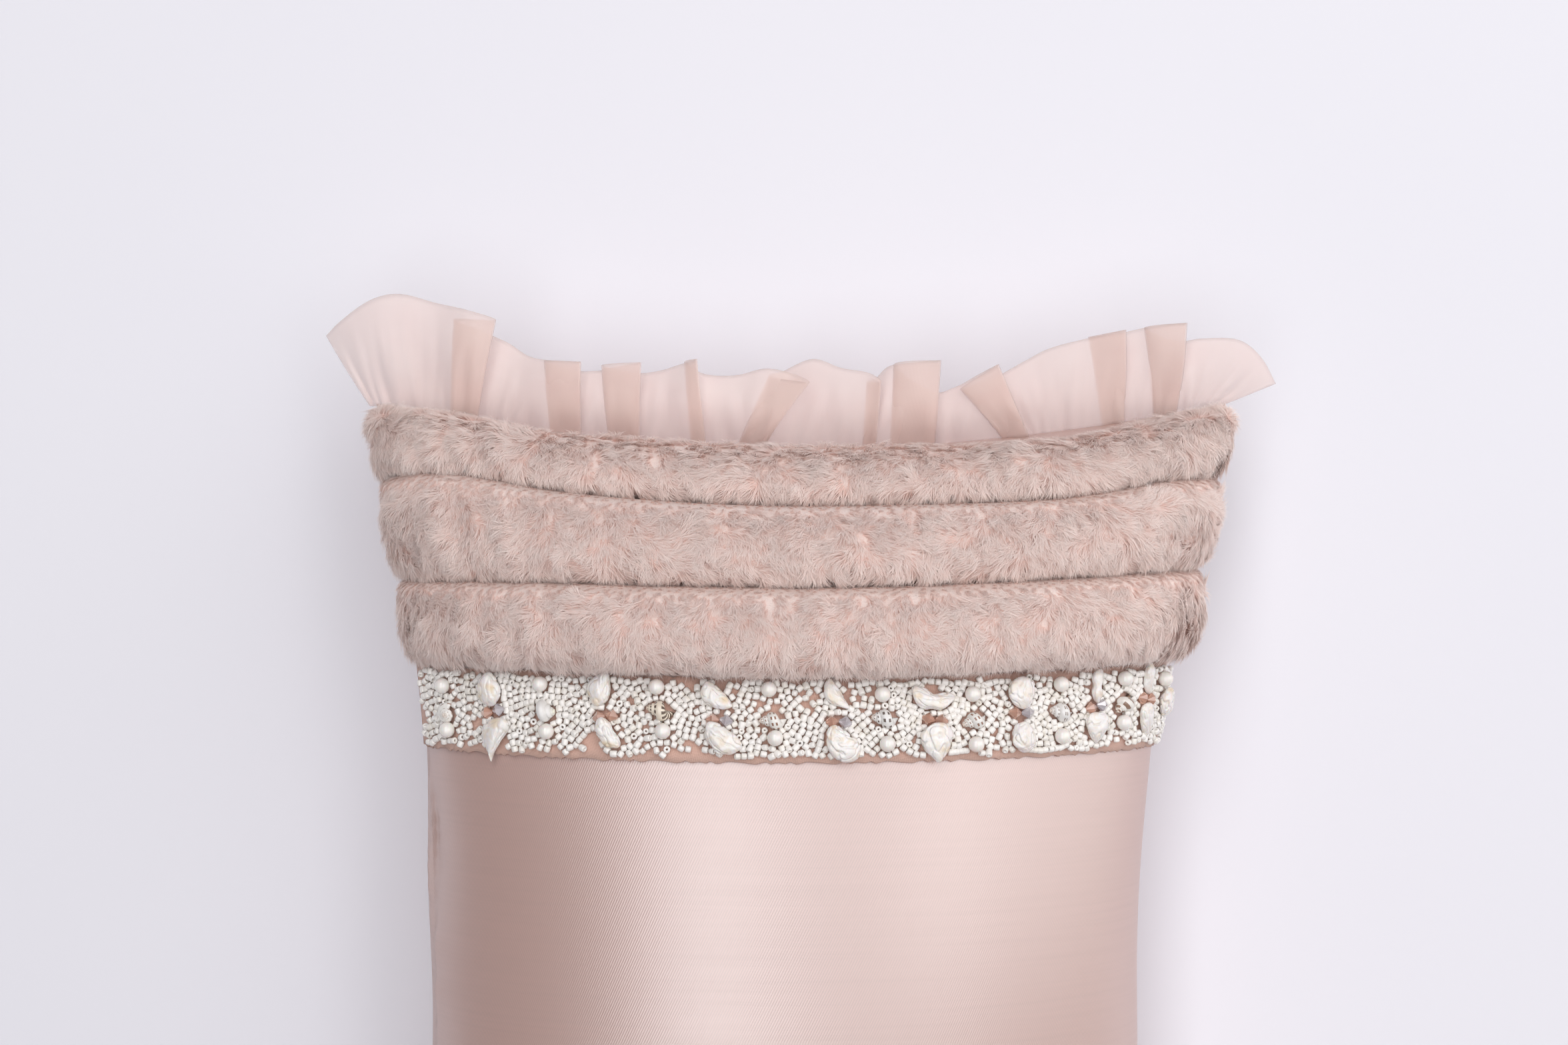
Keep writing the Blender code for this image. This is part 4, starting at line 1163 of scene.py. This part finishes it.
def shell_mesh(name, length, slim):
    """A snail shell: one ring carried round the axis while it shrinks towards the apex."""
    bm = bmesh.new()
    along_layer = bm.verts.layers.float.new("whorl_along")
    around_layer = bm.verts.layers.float.new("whorl_around")
    turns, steps, ring_size = 3.6, 76, 14
    ring = bmesh.ops.create_circle(bm, segments=ring_size, radius=1.0)["verts"]
    edges = list({edge for vert in ring for edge in vert.link_edges})
    rings = [list(ring)]
    for _ in range(steps):
        made = bmesh.ops.extrude_edge_only(bm, edges=edges)["geom"]
        edges = [each for each in made if isinstance(each, bmesh.types.BMEdge)
                 and all(vert in made for vert in each.verts) and len(each.link_faces) == 1]
        previous = rings[-1]
        following = [next(edge.other_vert(vert) for edge in vert.link_edges
                          if edge.other_vert(vert) in made) for vert in previous]
        rings.append(following)
    shrink = 0.62 ** (1 / (steps / turns))
    for index, each in enumerate(rings):
        share = index / steps
        size = shrink ** index
        turn = 2 * math.pi * turns * share
        mouth = 1 + 0.25 * math.exp(-index / 3)
        centre = Vector((0.50 * size, 0, 1.15 * slim * (1 - size) * 1.6 - 0.75 * slim))
        for corner, vert in enumerate(each):
            angle = 2 * math.pi * corner / ring_size
            local = Vector((0.52 * size * mouth * math.cos(angle), 0,
                            0.60 * size * slim * mouth * math.sin(angle)))
            vert.co = Matrix.Rotation(turn, 3, "Z") @ (centre + local)
            vert[along_layer] = share
            vert[around_layer] = 0.5 + 0.5 * math.sin(angle)
    bmesh.ops.holes_fill(bm, edges=[edge for edge in bm.edges if edge.is_boundary], sides=0)
    low, high = (f(vert.co.z for vert in bm.verts) for f in (min, max))
    scale = length / (high - low)
    bmesh.ops.translate(bm, verts=bm.verts, vec=(0, 0, -(low + high) / 2))
    bmesh.ops.scale(bm, verts=bm.verts, vec=(scale,) * 3)
    return finished(bm, name)


def crystal_mesh(name, length):
    """A faceted bicone with flattened tips."""
    bm = bmesh.new()
    radius = 0.52 * length
    bmesh.ops.create_cone(bm, cap_ends=True, segments=8, radius1=radius, radius2=0.22 * radius,
                          depth=length / 2, matrix=Matrix.Translation((0, 0, length / 4)))
    base = [face for face in bm.faces if face.normal.z < -0.9]
    rim = [edge for face in base for edge in face.edges]
    bmesh.ops.delete(bm, geom=base, context="FACES_ONLY")
    made = bmesh.ops.extrude_edge_only(bm, edges=rim)["geom"]
    tip = [each for each in made if isinstance(each, bmesh.types.BMVert)]
    bmesh.ops.scale(bm, verts=tip, vec=(0.22, 0.22, 1))
    bmesh.ops.translate(bm, verts=tip, vec=(0, 0, -length / 2))
    bmesh.ops.contextual_create(bm, geom=tip)
    return finished(bm, name)


class PILLOW_OT_band(bpy.types.Operator):
    """Make the net tape, the ornaments and the seed beads fitted round them"""

    bl_idname = "ring_pillow.band"
    bl_label = "Bead band"

    def execute(self, context):
        self.obstacles = []
        self.ruler = band_ruler()
        self.tape()
        self.pearls()
        self.chips()
        self.shells()
        self.crystals()
        self.beads()
        return {"FINISHED"}

    def block(self, u, shift, reach_x, reach_y, turn=0.0):
        """Keeps the seed beads off an ornament."""
        self.obstacles.append((float(np.interp(u, *self.ruler)), shift * MM, reach_x, reach_y, turn))

    def tape(self):
        band = settings().band

        def place(a, b):
            ragged = 0.35 * MM * np.sin(190 * a + 3 * np.sin(47 * a)) * np.abs(b)
            v = from_head(BAND_LINE - (band.tape_width / 2 * b + ragged * np.sign(b)))
            return lifted_points(0.987 * a, v, TAPE_LIFT + 0.2 * MM * np.sin(60 * a) * b * b)

        mesh = shaped_grid("net_tape", 240, 8, place)
        piece = add_piece("net_tape", mesh, net_material(), replaces=("bead_tape",))
        thick = piece.modifiers.new("net thickness", "SOLIDIFY")
        thick.thickness = TAPE_TOP - TAPE_LIFT
        thick.offset = 1.0

    def pearls(self):
        band = settings().band
        material = pearl_material()
        radius = band.pearl / 2
        spots = [(f"upper_{n + 1}", u, up) for n, (u, up, _, _) in enumerate(PEARL_COLUMNS)]
        spots += [(f"lower_{n + 1}", u, low) for n, (u, _, _, low) in enumerate(PEARL_COLUMNS)]
        for label, u, shift in spots + [("edge", *EDGE_PEARL)]:
            bm = bmesh.new()
            bm.loops.layers.uv.new("OFBake")
            bmesh.ops.create_uvsphere(bm, u_segments=28, v_segments=18, radius=radius, calc_uvs=True)
            bmesh.ops.transform(bm, matrix=band_place(u, shift, TAPE_TOP + 1.15 * radius), verts=bm.verts)
            nodes = () if label == "edge" else (f"pearl_{label}",)
            add_piece(f"ivory_pearl_{label}", finished(bm, "pearl"), material, replaces=nodes)
            self.block(u, shift, radius, radius)

    def chips(self):
        material = nacre_material()
        spots = []
        for row, column in (("upper", 1), ("lower", 3)):
            for n, places in enumerate(CHIP_COLUMNS):
                spots.append((f"{row}_{n + 1}", places[0], places[column], CHIP_FORMS[row][n]))
        spots.append(("edge", *EDGE_CHIP, CHIP_FORMS["lower"][5]))
        for number, (label, u, shift, form) in enumerate(spots):
            mesh = chip_mesh(label, form, number)
            turn = math.radians(form[3])
            mesh.transform(band_place(u, shift, TAPE_TOP + 0.75 * form[2] * MM, turn, 0.12))
            nodes = () if label == "edge" else (f"nacre_chip_{label}",)
            add_piece(f"baroque_chip_{label}", mesh, material, replaces=nodes)
            self.block(u, shift, 0.46 * form[1] * MM, 0.47 * form[0] * MM, turn)

    def shells(self):
        band = settings().band
        looks = {name: shell_material(name) for name in SHELL_LOOKS}
        for n, ((look, turn, slim, share), (u, _, shift, _)) in enumerate(zip(SHELL_FORMS, PEARL_COLUMNS)):
            length = band.shell * min(1, 0.55 + 0.45 * slim)
            mesh = shell_mesh(f"shell_{n + 1}", length * share, slim)
            lie = Matrix.Rotation(math.pi / 2, 4, "Y") if slim > 0.5 else Matrix.Rotation(0.4, 4, "X")
            mesh.transform(band_place(u, shift, TAPE_TOP + 2.3 * MM, math.radians(turn)) @ lie)
            add_piece(f"turbo_shell_{n + 1}", mesh, looks[look],
                      replaces=(f"spiral_shell_{n + 1}",))
            self.block(u, shift, 0.5 * length, 2.5 * MM, math.radians(turn))

    def crystals(self):
        band = settings().band
        peach = crystal_material("peach_crystal", (0.98, 0.62, 0.48))
        lilac = crystal_material("lilac_crystal", (0.92, 0.88, 0.93))
        rng = random.Random(5)
        for n, (u, _, shift, _) in enumerate(CHIP_COLUMNS):
            for side, material in ((-1, peach), (1, lilac if n % 3 != 1 else peach)):
                mesh = crystal_mesh("crystal", band.crystal)
                slide = Matrix.Translation((side * 0.53 * band.crystal, rng.uniform(-0.4, 0.4) * MM, 0))
                lie = Matrix.Rotation(math.pi / 2, 4, "Y") @ Matrix.Rotation(rng.uniform(0, 1), 4, "Z")
                seat = band_place(u, shift, TAPE_TOP + 1.9 * MM, rng.uniform(-0.3, 0.3))
                mesh.transform(seat @ slide @ lie)
                label = "left" if side < 0 else "right"
                add_piece(f"crystal_{label}_{n + 1}", mesh, material, smooth=False)
            self.block(u, shift, band.crystal, 0.4 * band.crystal)

    def beads(self):
        material = seed_material()
        template = bead_template(settings().band.bead)
        places = bead_places(scatter_beads(self.obstacles))
        order = np.argsort(places[:, 0, 3])
        for index, chosen in enumerate(np.array_split(order, 2)):
            mesh = stamp(f"seed_beads_{index + 1}", [template], np.zeros(len(chosen), int), places[chosen])
            nodes = ("seed_bead_field",) if index == 0 else ()
            add_piece(mesh.name, mesh, material, replaces=nodes)
        bpy.data.meshes.remove(template)


# ---------------------------------------------------------------- zip
class PILLOW_OT_zip(bpy.types.Operator):
    """Make the zip: woven tapes, a nylon coil, and the nickel slider and pull"""

    bl_idname = "ring_pillow.zip"
    bl_label = "Foot zip"

    def execute(self, context):
        nylon, nickel = nylon_material(), nickel_material()
        tape = cloth_material("rose_zip_weave", (0.52, 0.34, 0.32), 1100)
        self.dress("zip_tape_front", tape)
        self.dress("zip_tape_back", tape)
        self.coil(nylon)
        for name, body in (("zip_slider", "zip_slider"), ("zip_pull", "zip_pull"),
                           ("zip_top_stop", "cushion"), ("zip_bottom_stop", "cushion")):
            self.softened(name, body, nickel)
        return {"FINISHED"}

    def dress(self, name, material):
        """Gives a carried-over node its material."""
        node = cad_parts[name]
        node.data.materials.clear()
        node.data.materials.append(material)

    def softened(self, name, body, material):
        """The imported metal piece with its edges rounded."""
        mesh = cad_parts[name].data.copy()
        mesh.materials.clear()
        bm = bmesh.new()
        bm.from_mesh(mesh)
        bmesh.ops.remove_doubles(bm, verts=bm.verts, dist=0.002 * MM)
        bmesh.ops.dissolve_limit(bm, angle_limit=math.radians(3), verts=bm.verts, edges=bm.edges)
        bm.to_mesh(mesh)
        bm.free()
        piece = add_piece(f"polished_{name}", mesh, material, body, (name,), smooth=False)
        edges = piece.modifiers.new("rounded edges", "BEVEL")
        edges.width = 0.12 * MM
        edges.segments = 2
        edges.limit_method = "ANGLE"
        edges.angle_limit = math.radians(40)
        edges.use_clamp_overlap = True
        mesh.shade_smooth()
        mesh.set_sharp_from_angle(angle=math.radians(40))

    def coil(self, material):
        """Interlocked nylon teeth on their web."""
        pitch = 1.25 * MM
        length = CHAIN_HIGH.x - CHAIN_LOW.x
        count = int(length / pitch)
        height = CHAIN_HIGH.z - CHAIN_LOW.z
        bm = bmesh.new()
        web = (length, CHAIN_HIGH.y - CHAIN_LOW.y, 0.6 * MM, 1)
        bmesh.ops.create_cube(bm, size=1.0, matrix=Matrix.Diagonal(web))
        bmesh.ops.translate(bm, verts=bm.verts, vec=(CHAIN_LOW + CHAIN_HIGH) / 2)
        depth = 1.5 * MM
        for index in range(count):
            for side in (-1, 1):
                x = CHAIN_LOW.x + (index + 0.5 + 0.25 * side) * pitch
                z = END_SEAM_HEIGHT + side * 0.19 * height
                place = Matrix.Translation((x, CHAIN_LOW.y + depth / 2, z))
                made = bmesh.ops.create_cube(bm, size=1.0, matrix=place @ Matrix.Diagonal(
                    (0.72 * pitch, depth, 0.58 * height, 1)))
                bmesh.ops.bevel(bm, geom=list({e for v in made["verts"] for e in v.link_edges}),
                                offset=0.16 * MM, segments=1, profile=0.5, affect="EDGES", material=-1)
        piece = add_piece("nylon_coil", finished(bm, "nylon_coil", normals=False), material,
                          replaces=("zip_chain",), smooth=False)
        piece.data.shade_smooth()
        piece.data.set_sharp_from_angle(angle=math.radians(50))


# ---------------------------------------------------------------- stage
class PILLOW_OT_stage(bpy.types.Operator):
    """Make the pale table, the soft lights and the camera"""

    bl_idname = "ring_pillow.stage"
    bl_label = "Stage"

    def execute(self, context):
        self.table()
        cool = (0.99, 0.985, 1.0)
        self.light("key", (-0.42, 0.65, 1.6), (-0.42, 0.65, 0.0), (0.62, 3.0), 15.2, cool)
        self.light("overhead", (0.52, 0.65, 1.6), (0.52, 0.65, 0.0), (1.26, 3.0), 11.6, cool)
        self.light("window", (1.45, 0.45, 0.78), (0.0, 0.3, 0.05), (1.5, 3.0), 19.0, (1.0, 0.985, 0.99))
        self.light("lamp", (-0.35, 1.25, 1.4), (0.0, 0.1, 0.05), (0.25, 0.3), 0.9, (1.0, 0.99, 0.98))
        self.world()
        self.camera()
        return {"FINISHED"}

    def table(self):
        bm = bmesh.new()
        bmesh.ops.create_grid(bm, x_segments=1, y_segments=1, size=6.0)
        mesh = finished(bm, "table")
        table = bpy.data.objects.new("table", mesh)
        bpy.context.scene.collection.objects.link(table)
        material, tree, shader = new_material("pale_table", Roughness=0.6, Specular_IOR_Level=0.2)
        cloud = noise_fac(tree, object_place(tree), 3.0, 3.0)
        paint(tree, shader, ramp(tree, cloud, (0.3, (0.90, 0.89, 0.94)), (0.7, (0.92, 0.91, 0.955))))
        mesh.materials.append(material)

    def light(self, name, place, aim, size, power, colour):
        data = bpy.data.lights.new(name, "AREA")
        data.shape = "RECTANGLE"
        data.size, data.size_y = size
        data.energy = power
        data.color = colour
        lamp = bpy.data.objects.new(name, data)
        lamp.location = place
        lamp.rotation_euler = (Vector(aim) - Vector(place)).to_track_quat("-Z", "Y").to_euler()
        bpy.context.scene.collection.objects.link(lamp)

    def world(self):
        world = bpy.data.worlds.new("soft_room")
        world.use_nodes = True
        background = world.node_tree.nodes["Background"]
        background.inputs["Color"].default_value = (0.90, 0.89, 0.96, 1.0)
        background.inputs["Strength"].default_value = 0.14
        bpy.context.scene.world = world
        bpy.context.scene.view_settings.view_transform = "Standard"

    def camera(self):
        data = bpy.data.cameras.new("camera")
        data.lens, data.sensor_width = 50.0, 36.0
        data.clip_start, data.clip_end = 0.01, 50.0
        camera = bpy.data.objects.new("camera", data)
        camera.location = CAMERA_PLACE
        bpy.context.scene.collection.objects.link(camera)
        bpy.context.scene.camera = camera


OPERATORS = (PILLOW_OT_case, PILLOW_OT_filling, PILLOW_OT_fur, PILLOW_OT_ruffle, PILLOW_OT_band,
             PILLOW_OT_zip, PILLOW_OT_stage)


class PILLOW_PT_panel(bpy.types.Panel):
    """Sidebar panel with the pillow's sizes, colours and operators"""

    bl_idname = "PILLOW_PT_panel"
    bl_label = "Ring bearer pillow"
    bl_space_type = "VIEW_3D"
    bl_region_type = "UI"
    bl_category = "Pillow"

    def draw(self, context):
        layout = self.layout
        pillow = context.scene.ring_bearer_pillow
        for group in (pillow.case, pillow.fur, pillow.band, pillow.ruffle):
            box = layout.box()
            for key in group.__annotations__:
                box.prop(group, key)
        for operator in OPERATORS:
            layout.operator(operator.bl_idname)


CLASSES = (PillowCase, FurRolls, BeadBand, Ruffle, PillowSettings, *OPERATORS, PILLOW_PT_panel)


def register():
    for each in CLASSES:
        bpy.utils.register_class(each)
    bpy.types.Scene.ring_bearer_pillow = PointerProperty(type=PillowSettings)


def unregister():
    del bpy.types.Scene.ring_bearer_pillow
    for each in reversed(CLASSES):
        bpy.utils.unregister_class(each)


def main():
    register()
    bpy.ops.ring_pillow.case()
    bpy.ops.ring_pillow.filling()
    bpy.ops.ring_pillow.fur()
    bpy.ops.ring_pillow.ruffle()
    bpy.ops.ring_pillow.band()
    bpy.ops.ring_pillow.zip()
    bpy.ops.ring_pillow.stage()


if __name__ == "__main__":
    main()
